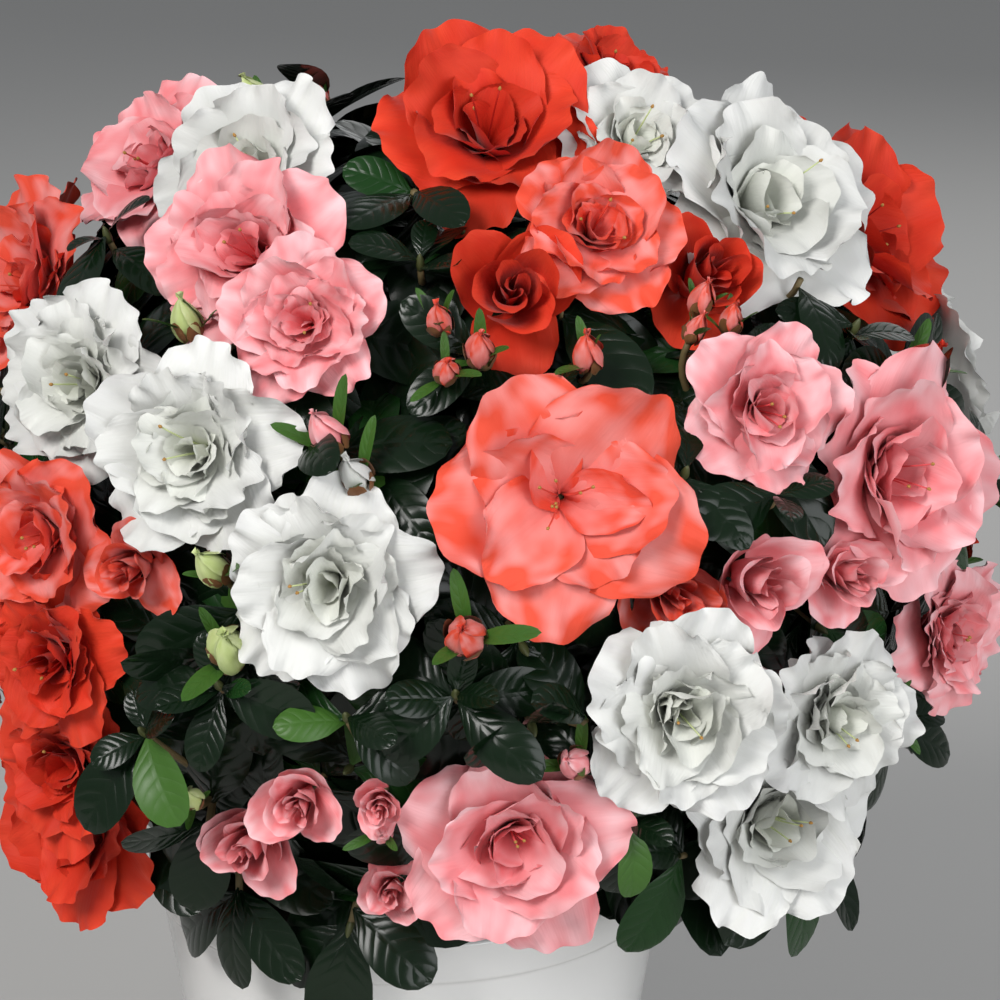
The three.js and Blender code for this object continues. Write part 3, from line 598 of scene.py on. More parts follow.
# Sprays: leaves, the masses that own their centres, and how many each centre has. First the tufts and the
# hanging ones, then those round the twigs: which twigs, distance below the tip, leaves, lengths, rises and
# how far they turn sunward.
sprays = [
    (rosettes(tuft_places, tuft_axes, 5, (20, 31), (-0.1, 0.5), 0.55, 240), tuft_owners, 5),
    (rosettes(tuft_places, tuft_axes, 3, (12, 20), (0.7, 1.1), 0.1, 243), tuft_owners, 3),
    (hanging(tips[low_tips], 3, (26, 40), 241), owners[low_tips], 3),
    (hanging(along(twigs, [0.84])[0][low_tips, 0], 2, (26, 38), 242), owners[low_tips], 2),
]
for chosen, distance, count, lengths, rises, sunward in [
    (flowering, 5, 5, (32, 42), (-0.1, 0.25), 0.3),
    (flowering, 14, 5, (30, 42), (-0.25, 0.2), 0.5),
    (flowering, 30, 5, (28, 38), (-0.1, 0.5), 0.7),
    (upper_leafy, 2, 4, (20, 30), (0.5, 1.0), 0.1),
    (upper_leafy, 7, 5, (30, 40), (0.0, 0.5), 0.4),
    (upper_leafy, 18, 6, (34, 44), (-0.3, 0.25), 0.6),
    (~flowering, 32, 6, (30, 42), (-0.1, 0.5), 0.75),
    (~flowering, 46, 5, (30, 40), (-0.1, 0.5), 0.8),
]:
    centres, axes = below_tip(twigs[chosen], distance)
    grown = rosettes(centres, axes, count, lengths, rises, sunward, 200 + len(sprays))
    sprays.append((grown, owners[chosen], count))
centres, axes = below_tip(side_curves, 1)
sprays.append((rosettes(centres, axes, 5, (24, 36), (0.0, 0.8), 0.6, 230), side_owners, 5))
leaf_roots, leaf_ways, leaf_tops, leaf_lengths = (np.concatenate([s[0][i] for s in sprays]) for i in range(4))
leaf_owners = np.concatenate([np.repeat(owner, count) for _, owner, count in sprays])
rng = np.random.default_rng(300)
widths = rng.uniform(0.22, 0.28, len(leaf_roots))
droops = rng.uniform(0.25, 0.95, len(leaf_roots))
folds, curls = rng.uniform(0.05, 0.35, len(leaf_roots)), rng.uniform(0.0, 0.25, len(leaf_roots))
blade_points = blades(leaf_roots, leaf_ways, leaf_tops, leaf_lengths, widths, droops, folds, curls)
# The room that petals take, in a flower's diameters: their reach and top, and the clear view into the throat.
petal_reach, petal_top, throat_reach, throat_top = 0.46, 0.45, 0.36, 1.3
# How far out leaves may reach, as a share of the crown's dome, above its centre and below it.
most_reach_above, most_reach_below = 1.13, 1.3


def among_petals(places, slope=0.32):
    """Whether places (n, k, 3) lie among the petals of any flower, over its shallow cone and under its top, or
    right in front of its middle. The slope is the cone's rise over its radius."""
    from_tip = places[:, :, None] - tips[flowering][None, None]
    up = (from_tip * face_ways[flowering]).sum(-1)
    out = np.sqrt(np.maximum(0, (from_tip**2).sum(-1) - up**2))
    size = sizes[flowering]
    inside = (out < size * petal_reach) & (up > slope * out + 0.5) & (up < size * petal_top)
    in_front = (out < size * throat_reach) & (up > 0) & (up < size * throat_top)
    return (inside | in_front).any(-1)


def in_pot(places):
    """Whether places lie inside the planter or in its wall."""
    return (np.hypot(places[..., 0], places[..., 1]) < rim_radius + 1) & (places[..., 2] < pot_height + 1)


midribs = blade_points[:, 2::2, 2]
reach = np.linalg.norm((midribs - crown_centre) / crown_radii, axis=-1).max(1)
upper = midribs[:, -1, 2] > crown_centre[2]
clear = ~among_petals(midribs).any(1) & ~in_pot(blade_points.reshape(len(blade_points), -1, 3)).any(1)
clear &= reach < np.where(upper, most_reach_above, most_reach_below)
blade_points, leaf_owners, leaf_lengths = blade_points[clear], leaf_owners[clear], leaf_lengths[clear]
stalks = from_nearest_twig(tuft_places, tuft_axes)
points, faces = limbs(stalks, foot=1.1, tip=0.9, rows=9, sides=7, ridge=0.03, seed=6)
piece("tuft_stalks", points, faces, shoot_bark, "bark")


def sums(tree):
    """A short hand for Math nodes: op(kind, a, b, c) takes sockets or numbers and gives the result's socket."""

    def op(kind, *values, clamp=False):
        made = tree.nodes.new("ShaderNodeMath")
        made.operation, made.use_clamp = kind, clamp
        for socket, value in zip(made.inputs, values):
            if isinstance(value, bpy.types.NodeSocket):
                tree.links.new(value, socket)
            else:
                socket.default_value = value
        return made.outputs[0]

    return op


def own_map(tree):
    """The two coordinates of a piece's own UV map."""
    uv_map = node(tree, "UVMap")
    uv_map.uv_map = "shape"
    parts = node(tree, "SeparateXYZ", Vector=uv_map.outputs["UV"])
    return parts.outputs["X"], parts.outputs["Y"]


# Veins of a leaf on its own UV map: valleys at the midrib and along slanting side veins, bulges between.
side_veins, vein_slant, rib_width, vein_relief = 6.5, 1.5, 0.16, 0.5
veins, into, out_of = group("leaf_veins", {"Pucker": ("Float", 1.0)}, {"Height": "Float", "Vein": "Float"})
across, onward = own_map(veins)
op = sums(veins)
from_rib = op("ABSOLUTE", op("MULTIPLY_ADD", across, 2.0, -1.0))
slanting = op("MULTIPLY", op("POWER", from_rib, 1.3), vein_slant)
slant = op("SUBTRACT", op("MULTIPLY", onward, side_veins), slanting)
ridge = op("POWER", op("ABSOLUTE", op("SINE", op("MULTIPLY", slant, np.pi))), 0.7)
ridge = op("MULTIPLY", ridge, op("SUBTRACT", 1.0, op("MULTIPLY", op("POWER", from_rib, 3.0), 0.8)))
bulge = op("MULTIPLY", ridge, op("DIVIDE", from_rib, rib_width, clamp=True))
veins.links.new(op("MULTIPLY", bulge, into["Pucker"]), out_of["Height"])
veins.links.new(bulge, out_of["Vein"])


def leaf_finish(name, base, roughness, pucker, gloss):
    """A leaf's material: a plain base colour, gloss a little duller along the veins, and puckered relief."""
    material, tree, shader = finish(name, base, roughness, specular_ior_level=gloss)
    pattern = node(tree, "Group", nested=veins, Pucker=pucker).outputs
    bump = node(tree, "Bump", Strength=vein_relief, Distance=0.0003, Height=pattern["Height"])
    tree.links.new(bump.outputs["Normal"], shader.inputs["Normal"])
    satin = node(tree, "MapRange", Value=pattern["Vein"], To_Min=roughness + 0.08, To_Max=roughness)
    tree.links.new(satin.outputs["Result"], shader.inputs["Roughness"])
    return material


dark_leaf = leaf_finish("dark_leaf", (0.0045, 0.013, 0.005), roughness=0.19, pucker=1.0, gloss=0.3)
green_leaf = leaf_finish("green_leaf", (0.010, 0.042, 0.009), roughness=0.22, pucker=1.0, gloss=0.24)
young_leaf = leaf_finish("young_leaf", (0.045, 0.12, 0.018), roughness=0.36, pucker=0.8, gloss=0.3)
# Each leaf draws a tone from 0 to 1: dark up to one value, green above it, and young from another if short.
dark_until, young_from, young_length = 0.84, 0.9, 27

u_place = np.tile(np.linspace(0, 1, blade_columns), blade_rows)
s_place = np.repeat(blade_shares, blade_columns)
tone = np.random.default_rng(301).uniform(0, 1, len(blade_points))
young = (leaf_lengths < young_length) & (tone > young_from)
kinds = [
    ("dark", dark_leaf, "leaf", tone < dark_until),
    ("green", green_leaf, "leaf", (tone >= dark_until) & ~young),
    ("young", young_leaf, "young_leaf", young),
]
for m, name in enumerate(mass_names):
    for kind, material, slot, chosen in kinds:
        mine = blade_points[chosen & (leaf_owners == m)]
        if not len(mine):
            continue
        faces = [sheet_faces(blade_rows, blade_columns, len(mine))]
        uv = np.tile(np.stack([u_place, s_place], -1), (len(mine), 1))
        piece(f"leaves_{kind}_{name}", mine.reshape(-1, 3), faces, material, slot, uv, nodes=[f"mass_{name}"])

# Blossom: azalea flowers, most of them double, with broad wavy outer petals and smaller crinkled ones
# crowding the throat. Each petal is a thin matt sheet, narrow at its foot, where the petals join in a tube.
# Each colour's inner setting is how much of the throat colour the innermost petals take: partly their own deeper
# tint, partly painted shade for the depth of the flower.
petal_colours = {
    "white": dict(
        body=(0.72, 0.725, 0.705), margin=(0.77, 0.77, 0.77), throat=(0.60, 0.68, 0.34), edge=0.4, inner=0.14
    ),
    "pink": dict(
        body=(0.86, 0.26, 0.28), margin=(0.93, 0.57, 0.60), throat=(0.80, 0.10, 0.11), edge=1.15, inner=0.4
    ),
    "coral": dict(
        body=(0.84, 0.29, 0.27), margin=(0.78, 0.08, 0.04), throat=(0.74, 0.07, 0.04), edge=1.7, inner=0.45
    ),
    "red": dict(
        body=(0.66, 0.032, 0.011), margin=(0.80, 0.065, 0.024), throat=(0.46, 0.010, 0.004), edge=0.8, inner=0.5
    ),
}
petal_crinkle = {"white": 1.3, "pink": 1.1, "coral": 1.05, "red": 0.9}


def petals(rng, crinkle, count, spin, grid, foot, wrap, middles, spreads):
    """Petals as sheets (count, rows, columns, 3) evenly round the axis Z, for a flower of radius 1. Each of the
    ten shape values has a middle and a spread, from which every petal draws its own.

    Each centreline leaves the foot (radius, height) at the start angle from the axis, swings towards the end
    angle as 1 - exp(-2.4 v), and curls by v^6 near its tip. The outline widens from a narrow claw by a smooth
    step, and ends in half an ellipse: there the grid's square maps to a disc, u by sqrt(1 - s^2 / 2) and s by
    sqrt(1 - u^2 / 2). Across, a share of the petal wraps round the axis. Square to the sheet it cups with
    u^2, tilts with u, folds with |u|, and ruffles with sines that run round the margin and fade inwards."""
    rows, columns = grid
    turn = (spin + (np.arange(count) + rng.uniform(-0.12, 0.12, count)) / count * 2 * np.pi)[:, None, None]
    length, width, start, end, curl, cup, tilt, fold, ruffle, frill = (
        rng.uniform(middle - spread, middle + spread, (count, 1, 1)) for middle, spread in zip(middles, spreads)
    )
    phase = rng.uniform(0, 6.3, (count, 7, 1, 1))
    u, v = np.linspace(-1, 1, columns)[None, None, :], np.linspace(0, 1, rows)[None, :, None]
    shoulder = 0.46
    s = np.clip((v - shoulder) / (1 - shoulder), 0, 1)
    sideways, onward = u * np.sqrt(1 - s * s / 2), s * np.sqrt(1 - u * u / 2)
    opened = np.clip(v / shoulder, 0, 1)
    half = width * (0.2 + 0.8 * opened * opened * (3 - 2 * opened))
    round_margin = np.arctan2(sideways, onward + 0.2 * (v - shoulder))
    to_margin = np.clip((np.maximum(np.abs(u), s) - 0.3) / 0.7, 0, 1) * np.sqrt(v)
    wave = lambda k, i: np.sin(k * round_margin + phase[:, i])
    scallop = 1 + crinkle * (0.03 * wave(3.7, 5) + 0.025 * wave(13.1, 6)) * to_margin**3
    across = sideways * half * scallop
    reach = np.minimum(v, shoulder) + (1 - shoulder) * onward * scallop
    fine = np.linspace(0, 1, 65)[None, :]
    swing = (1 - np.exp(-2.4 * fine)) / (1 - np.exp(-2.4))
    angles = start[..., 0] + (end - start)[..., 0] * swing + curl[..., 0] * fine**6
    place = np.clip(reach, 0, 1.05) * 64
    lower = np.clip(place.astype(int), 0, 63)
    flat = lower.reshape(count, -1)
    at = lambda table, ahead: np.take_along_axis(table, flat + ahead, 1).reshape(lower.shape)
    pick = lambda table: at(table, 0) + (at(table, 1) - at(table, 0)) * (place - lower)
    radius = foot[0] + length * pick(np.cumsum(np.sin(angles), 1) / 64)
    height = foot[1] + length * pick(np.cumsum(np.cos(angles), 1) / 64)
    angle = pick(angles)
    waves = ruffle * (0.6 * wave(3.1, 0) + 0.4 * wave(5.7, 1)) * to_margin**1.5
    waves = waves + frill * (0.5 * wave(9.3, 2) + 0.5 * wave(17.3, 3)) * to_margin**2.6
    creases = 0.03 * np.sin(7 * u + 3 * v + phase[:, 4]) * np.sin(np.pi * v)
    rise = width * (cup * u * u + tilt * u + fold * np.abs(u) * (1 - 0.3 * v) + crinkle * (waves + creases))
    turned_by = turn + wrap * across / (radius + 0.12 * length)
    flat_part = across * (1 - wrap)
    from_axis = radius - np.cos(angle) * rise
    x = np.cos(turned_by) * from_axis - np.sin(turned_by) * flat_part
    y = np.sin(turned_by) * from_axis + np.cos(turned_by) * flat_part
    return np.stack([x, y, height + np.sin(angle) * rise], -1)


# Rings of petals of each form of flower, from the outside in: how many, turn, how far in the ring lies from 0
# to 1, grid, foot, and share that wraps; then the middles and the spreads of length, width, start angle, end
# angle, curl, cup, tilt, fold, ruffle and frill.
flower_rings = {
    "double": [
        (5, 0, 0, (16, 29), (0.05, 0), 0.25,
         (1.15, 0.56, 0.15, 1.55, 0.1, 0, 0.1, 0.02, 0.18, 0.12),
         (0.05, 0.04, 0, 0.15, 0.25, 0.1, 0.1, 0.04, 0.04, 0.03)),
        (5, 0.63, 0.2, (16, 29), (0.05, 0), 0.25,
         (1.02, 0.52, 0.12, 1.22, 0.1, 0.08, -0.1, 0.02, 0.2, 0.13),
         (0.07, 0.05, 0, 0.16, 0.3, 0.12, 0.1, 0.05, 0.05, 0.04)),
        (5, 0.2, 0.45, (13, 17), (0.05, 0), 0.25,
         (0.86, 0.42, 0.08, 0.92, 0.2, 0.12, 0.15, 0.06, 0.25, 0.11),
         (0.07, 0.05, 0, 0.2, 0.4, 0.2, 0.15, 0.08, 0.06, 0.03)),
        (5, 0.9, 0.75, (12, 15), (0.05, 0), 0.25,
         (0.74, 0.34, 0.05, 0.6, 0.3, 0.15, 0, 0.12, 0.27, 0.11),
         (0.08, 0.05, 0, 0.25, 0.5, 0.25, 0.3, 0.15, 0.08, 0.03)),
        (4, 0.4, 1, (10, 13), (0.05, 0), 0.25,
         (0.64, 0.27, 0.03, 0.28, 0.4, 0.15, 0, 0.2, 0.3, 0.11),
         (0.08, 0.05, 0, 0.25, 0.6, 0.3, 0.4, 0.25, 0.08, 0.03)),
    ],
    "broad": [
        (5, 0, 0, (17, 29), (0.05, 0), 0.25,
         (1.17, 0.62, 0.15, 1.52, 0, 0.02, 0.08, 0, 0.15, 0.08),
         (0.05, 0.04, 0, 0.16, 0.25, 0.1, 0.08, 0.03, 0.04, 0.03)),
        (5, 0.63, 0.15, (16, 27), (0.05, 0), 0.25,
         (1.02, 0.56, 0.12, 1.1, 0, 0.1, -0.08, 0.02, 0.17, 0.09),
         (0.06, 0.05, 0, 0.18, 0.3, 0.12, 0.1, 0.04, 0.04, 0.03)),
        (4, 0.3, 0.5, (13, 17), (0.05, 0), 0.3,
         (0.8, 0.44, 0.08, 0.72, 0.2, 0.15, 0.12, 0.05, 0.2, 0.07),
         (0.07, 0.05, 0, 0.2, 0.35, 0.15, 0.12, 0.08, 0.05, 0.02)),
        (4, 1, 0.9, (12, 15), (0.05, 0), 0.3,
         (0.64, 0.32, 0.05, 0.36, 0.3, 0.15, 0, 0.15, 0.24, 0.08),
         (0.07, 0.05, 0, 0.25, 0.5, 0.25, 0.3, 0.15, 0.06, 0.02)),
    ],
    "open": [
        (5, 0, 0, (16, 23), (0.05, 0), 0.25,
         (1.2, 0.6, 0.2, 1.58, 0, 0, 0.08, 0, 0.2, 0.08),
         (0.06, 0.04, 0, 0.12, 0.3, 0.1, 0.08, 0.05, 0.04, 0.02)),
        (5, 0.63, 0.2, (16, 23), (0.05, 0), 0.25,
         (0.92, 0.44, 0.2, 1.3, 0.1, 0.05, -0.1, 0.05, 0.24, 0.09),
         (0.1, 0.06, 0, 0.16, 0.4, 0.15, 0.12, 0.08, 0.06, 0.02)),
        (3, 0.3, 0.6, (13, 17), (0.05, 0), 0.25,
         (0.7, 0.3, 0.3, 1.1, 0.3, 0.1, 0, 0.2, 0.24, 0.08),
         (0.08, 0.05, 0, 0.2, 0.4, 0.2, 0.2, 0.1, 0.05, 0.02)),
    ],
    "rose": [
        (3, 0, 0, (15, 21), (0.08, 0), 0.6,
         (1.25, 0.74, 0.75, 0.75, 0.4, 0, 0.08, 0, 0.06, 0.015),
         (0.08, 0.06, 0.05, 0.5, 0.4, 0.04, 0.03, 0, 0.02, 0.01)),
        (3, 0.5, 0.2, (15, 21), (0.06, 0.02), 0.9,
         (1.3, 0.74, 0.62, 0.16, 0.7, 0, 0.14, 0, 0.05, 0.015),
         (0.05, 0.05, 0.03, 0.1, 0.3, 0, 0.02, 0, 0.02, 0.01)),
        (3, 0.1, 0.5, (13, 17), (0.04, 0.04), 1,
         (1.34, 0.56, 0.42, 0, 0.5, 0, 0.16, 0, 0.05, 0.015),
         (0.04, 0.04, 0.03, 0.05, 0.3, 0, 0.02, 0, 0.02, 0.01)),
        (3, 0.8, 0.8, (12, 15), (0.02, 0.04), 1,
         (1.3, 0.36, 0.24, -0.06, 0.4, 0, 0.2, 0, 0.05, 0.015),
         (0.04, 0.04, 0.02, 0.04, 0.3, 0, 0.03, 0, 0.02, 0.01)),
    ],
}
flower_rings["tucked"] = flower_rings["rose"]

# Shading of a petal on its own UV map: throat colour at the foot, paler margin in soft blotches, and fine
# veins that fan out from the foot; the inner rings take more of the throat colour, partly their own deeper
# tint and partly painted shade for the depth of the flower. The relief is the same veins with a soft crinkle.
shades, into, out_of = group(
    "petal_shades",
    {
        **{key: ("Color", (1, 1, 1, 1)) for key in ("Body", "Margin", "Throat")},
        **{key: ("Float", 0.5) for key in ("Edge", "Inner")},
    },
    {"Color": "Color", "Height": "Float"},
)
across, onward = own_map(shades)
tone_value, ring_value = node(shades, "Attribute"), node(shades, "Attribute")
tone_value.attribute_name, ring_value.attribute_name = "tone", "ring"
own_tone, inwards = tone_value.outputs["Fac"], ring_value.outputs["Fac"]
op = sums(shades)
centred = op("MULTIPLY_ADD", across, 2.0, -1.0)


def petal_noise(stretch, apart, scale, detail):
    """Noise on a petal's map, stretched across and along it, other on every petal by its tone."""
    x, y = op("MULTIPLY", centred, stretch[0]), op("MULTIPLY", onward, stretch[1])
    place = node(shades, "CombineXYZ", X=x, Y=y, Z=op("MULTIPLY", own_tone, apart)).outputs["Vector"]
    return node(shades, "TexNoise", Vector=place, Scale=scale, Detail=detail).outputs["Fac"]


def mixed(share, first, second):
    """The colour that runs from the first to the second by a share."""
    mix = shades.nodes.new("ShaderNodeMix")
    mix.data_type = "RGBA"
    for key, socket in (("Factor", share), ("A", first), ("B", second)):
        shades.links.new(socket, mix.inputs[key])
    return mix.outputs["Result"]


fan = petal_noise((9.0, 1.6), apart=37.0, scale=1.6, detail=2)
blotches = petal_noise((1.3, 2.2), apart=91.0, scale=1.5, detail=1)
to_edge = op("MAXIMUM", op("POWER", op("ABSOLUTE", centred), 2.0), op("POWER", onward, 1.5))
paled = op("MULTIPLY", to_edge, op("MULTIPLY_ADD", blotches, 2.6, -0.75, clamp=True))
paled = op("MULTIPLY", paled, into["Edge"], clamp=True)
deep = op("SUBTRACT", 1.0, op("DIVIDE", onward, 0.42), clamp=True)
# Inner petals darken towards the throat colour by their ring: partly their own deeper tint, partly painted shade
# for the depth of the flower.
deep = op("MAXIMUM", op("POWER", deep, 1.5), op("MULTIPLY", inwards, into["Inner"]))
streak = op("MULTIPLY_ADD", fan, 3.0, -1.1, clamp=True)
streak = op("MULTIPLY", streak, op("SUBTRACT", 0.5, op("MULTIPLY", onward, 0.4)))
deepened = op("MAXIMUM", deep, op("MULTIPLY", streak, 0.22), clamp=True)
colour = mixed(deepened, mixed(paled, into["Body"], into["Margin"]), into["Throat"])
varied = node(shades, "HueSaturation", Value=op("MULTIPLY_ADD", own_tone, 0.16, 0.90), Color=colour)
shades.links.new(varied.outputs["Color"], out_of["Color"])
shades.links.new(fan, out_of["Height"])


def petal_finish(name, body, margin, throat, edge, inner):
    """A petal's material: matt and slightly velvety, with the shades of its own map and their relief."""
    material, tree, shader = finish(
        name, body, 0.62, specular_ior_level=0.25, sheen_weight=0.08, sheen_roughness=0.4
    )
    tones = dict(Body=(*body, 1), Margin=(*margin, 1), Throat=(*throat, 1), Edge=edge, Inner=inner)
    pattern = node(tree, "Group", nested=shades, **tones).outputs
    bump = node(tree, "Bump", Strength=0.28, Distance=0.0006, Height=pattern["Height"])
    tree.links.new(pattern["Color"], shader.inputs["Base Color"])
    tree.links.new(bump.outputs["Normal"], shader.inputs["Normal"])
    return material


petal_materials = {name: petal_finish(f"{name}_petal", **shade) for name, shade in petal_colours.items()}


def placed(local, tip, face, radius):
    """Places of a flower's own frame in the crown's: scaled by its radius, turned to its face and set on its
    tip."""
    steady = np.array([0, 0, 1.0]) if abs(face[2]) < 0.8 else np.array([1.0, 0, 0])
    side, other = square_to(face, steady)
    return tip + radius * (local[..., :1] * side + local[..., 1:2] * other + local[..., 2:] * face)


def flower_mesh(rings, crinkle, seed, tip, face, radius, further=0.0):
    """The points, faces, UV places and values of one flower, its rings joined. It stands at a seeded turn round
    its own axis, and further by a given angle."""
    rng = np.random.default_rng(seed)
    spin = rng.uniform(0, 6.3) + further
    points, faces, uv, tone, inwards, start = [], [], [], [], [], 0
    for count, turn, inner, grid, foot, wrap, middles, spreads in rings:
        rows, columns = grid
        sheets = petals(rng, crinkle * (1 - 0.4 * inner), count, turn + spin, grid, foot, wrap, middles, spreads)
        points.append(placed(sheets.reshape(-1, 3), tip, face, radius))
        faces.append(sheet_faces(rows, columns, count) + start)
        u, v = np.linspace(0, 1, columns), np.linspace(0, 1, rows)
        uv.append(np.tile(np.stack(np.meshgrid(u, v), -1).reshape(-1, 2), (count, 1)))
        tone.append(np.repeat(rng.uniform(0, 1, count), rows * columns))
        inwards.append(np.full(count * rows * columns, inner, float))
        start += count * rows * columns
    values = {"tone": np.concatenate(tone), "ring": np.concatenate(inwards)}
    return np.concatenate(points), [np.concatenate(faces)], np.concatenate(uv), values


# Flowers turned further so that their petals clear a neighbour's: index and angle.
turned_further = {2: 0.63}
for number, shoot in enumerate(shoots):
    if flowering[number]:
        colour, further = shoot["colour"], turned_further.get(number, 0.0)
        rings, place = flower_rings[shoot["form"]], (tips[number], face_ways[number], sizes[number] / 2)
        points, faces, uv, values = flower_mesh(rings, petal_crinkle[colour], 1000 + number, *place, further)
        node_name, name = f"mass_{mass_names[owners[number]]}", f"flower_{colour}_{number + 1}"
        piece(name, points, faces, petal_materials[colour], f"{colour}_blossom", uv, values, nodes=[node_name])

# Stamens: thin curved threads in the colour of the petals with small yellow-brown anthers, and one longer
# style in each flower. Most double flowers keep only a few of them, an open one has all.
filament_counts = {"double": 2, "broad": 3, "open": 8}
thread_curves, thread_colours = [], []
for number, shoot in enumerate(shoots):
    rng = np.random.default_rng(3000 + number)
    for k in range(filament_counts.get(shoot["form"], 0)):
        turn, lean = rng.uniform(0, 6.3), rng.uniform(0.08, 0.3)
        longest = 0.84 if k == 0 else rng.uniform(0.6, 0.74)
        out = np.array([np.cos(turn), np.sin(turn), 0.0])
        local = np.array([out * 0.03, out * lean * 0.3 + [0, 0, 0.5 * longest], out * lean + [0, 0, longest]])
        thread_curves.append(placed(local, tips[number], face_ways[number], sizes[number] / 2))
        thread_colours.append(shoot["colour"])
thread_curves, thread_colours = np.array(thread_curves), np.array(thread_colours)
anther, tree, shader = finish("anther", (0.42, 0.22, 0.05), 0.7)


def beads(places, axes, length, girth, rows, sides):
    """Small closed bodies on axes, pointed at the far end: the radius follows t^0.5 (1 - t)^0.8."""
    t = np.linspace(0, 1, rows + 2)[1:-1]
    side, other = square_to(axes, np.array([0.3, 0.9, 0.13]))
    turn = np.arange(sides)[:, None] / sides * 2 * np.pi
    way_round = np.cos(turn) * side[:, None] + np.sin(turn) * other[:, None]
    radius = (girth * 2.38 * t**0.5 * (1 - t) ** 0.8)[None, :, None, None]
    middles = places[:, None, None] + axes[:, None, None] * (length * t)[:, None, None]
    rings = middles + radius * way_round[:, None]
    return joined([skin(r, foot, foot + axis * length) for r, foot, axis in zip(rings, places, axes)])


for colour in petal_colours:
    mine = thread_curves[thread_colours == colour]
    points, faces = limbs(mine, foot=0.32, tip=0.22, rows=7, sides=5, ridge=0, seed=5)
    piece(f"filaments_{colour}", points, faces, petal_materials[colour], f"{colour}_blossom")
thread_tips = thread_curves[:, 2]
thread_ways = unit(thread_tips - thread_curves[:, 1])
points, faces = beads(thread_tips, thread_ways, length=1.5, girth=0.5, rows=3, sides=5)
piece("anthers", points, faces, anther, "bud_scale")

# Flower buds: tightly rolled petals on short stalks between the flowers, each in a cup of brown scales with a
# few narrow yellow-green bracts beside it. Listed by colour, turn, height angle and length.
bud_list = [
    ("coral", -2, 39.5, 11), ("coral", 3, 36, 13), ("coral", -1, 33.5, 11), ("coral", 34, 40, 11),
    ("coral", 37, 37, 10), ("coral", 31, 36.5, 9), ("coral", 16, 35, 13), ("pink", -14, 26, 15),
    ("green", -25, 10, 14), ("green", -23, 1, 20), ("coral", 1, 4, 17), ("pink", 12, -12, 13),
    ("red", 70, 25, 16), ("green", -36, 37, 13), ("white", -10.5, 21.5, 14), ("green", -30, -20, 10),
    ("pink", -8, -22, 9), ("pink", 56, -15, 13),
]
# Away from the listed ones a bud stands beside each leafy tip between two height angles, or near the top.
behind_buds = ["pink", "green", "coral", "white", "red", "green"]
bud_heights, unlisted_turn, unlisted_height = (-34, 70), 70, 62
for number, shoot in enumerate(shoots):
    unlisted = abs(shoot["turn"]) > unlisted_turn or shoot["height"] > unlisted_height
    if not flowering[number] and unlisted and bud_heights[0] < shoot["height"] < bud_heights[1]:
        colour = behind_buds[number % len(behind_buds)]
        bud_list.append((colour, shoot["turn"] + 3, shoot["height"] + 2, 11 + number % 5))
bud_colours = np.array([b[0] for b in bud_list])
bud_lengths = np.array([b[3] for b in bud_list], float)
rng = np.random.default_rng(400)
bud_ways = direction([b[1] for b in bud_list], [b[2] for b in bud_list])
bud_faces = unit(unit(bud_ways / crown_radii) * 0.6 + rng.normal(0, 0.2, bud_ways.shape) + [0, -0.1, 0.6])
bud_feet = in_crown(bud_ways, 0.97) - bud_faces * bud_lengths[:, None] * 0.4
stalks = from_nearest_twig(bud_feet, bud_faces)
points, faces = limbs(stalks, foot=1.0, tip=0.95, rows=9, sides=7, ridge=0.03, seed=6)
piece("bud_stalks", points, faces, shoot_bark, "bark")
bud_petals = [
    (4, 0, 0.2, (11, 9), (0.15, 0), 1,
     (1.04, 0.4, 0.95, -0.72, 0, 0, 0.12, 0, 0.02, 0),
     (0.03, 0.02, 0.04, 0.04, 0, 0, 0.02, 0, 0.01, 0)),
    (3, 0.5, 0.4, (10, 7), (0.1, 0), 1,
     (1.08, 0.3, 0.75, -0.6, 0, 0, 0.12, 0, 0.02, 0),
     (0.04, 0.02, 0.04, 0.04, 0, 0, 0.02, 0, 0.01, 0)),
]
bud_cup = [
    (5, 0.3, 0, (8, 7), (0.17, -0.04), 1,
     (0.52, 0.22, 1.05, -0.15, 0, 0, 0.1, 0, 0, 0),
     (0.08, 0.02, 0.05, 0.15, 0, 0, 0.03, 0, 0, 0)),
]
scale_shades = dict(body=(0.20, 0.08, 0.03), margin=(0.30, 0.13, 0.05), throat=(0.16, 0.20, 0.04))
green_shades = dict(body=(0.50, 0.60, 0.22), margin=(0.72, 0.78, 0.45), throat=(0.22, 0.32, 0.07))
# The inner setting gives the inner rolled petals more of the throat colour: partly their own tint, partly
# painted shade.
bud_scale = petal_finish("bud_scales", **scale_shades, edge=0.6, inner=0.0)
green_bud = petal_finish("green_bud", **green_shades, edge=0.8, inner=0.2)
bud_materials = {**petal_materials, "green": green_bud, "cup": bud_scale}


def together(meshes):
    """One set of points, faces, UV places and values from several flower meshes."""
    points, faces = joined([m[:2] for m in meshes])
    values = {key: np.concatenate([m[3][key] for m in meshes]) for key in meshes[0][3]}
    return points, faces, np.concatenate([m[2] for m in meshes]), values


for kind, material in bud_materials.items():
    rings = bud_cup if kind == "cup" else bud_petals
    grown = [
        flower_mesh(rings, 1.0, 4000 + i, bud_feet[i], bud_faces[i], bud_lengths[i])
        for i in range(len(bud_list))
        if kind in ("cup", bud_colours[i])
    ]
    points, faces, uv, values = together(grown)
    slot = "bud_scale" if kind in ("green", "cup") else f"{kind}_blossom"
    piece(f"buds_{kind}", points, faces, material, slot, uv, values)

roots, way, top, length = rosettes(bud_feet - bud_faces * 2, bud_faces, 3, (0.8, 1.4), (0.8, 1.25), 0.0, 420)
length, one = length * np.repeat(bud_lengths, 3), np.ones(len(roots))
bract_points = blades(roots, way, top, length, 0.10 * one, 0.35 * one, 0.4 * one, 0.1 * one)
uv = np.tile(np.stack([u_place, s_place], -1), (len(roots), 1))
faces = [sheet_faces(blade_rows, blade_columns, len(roots))]
piece("bud_bracts", bract_points.reshape(-1, 3), faces, young_leaf, "young_leaf", uv)

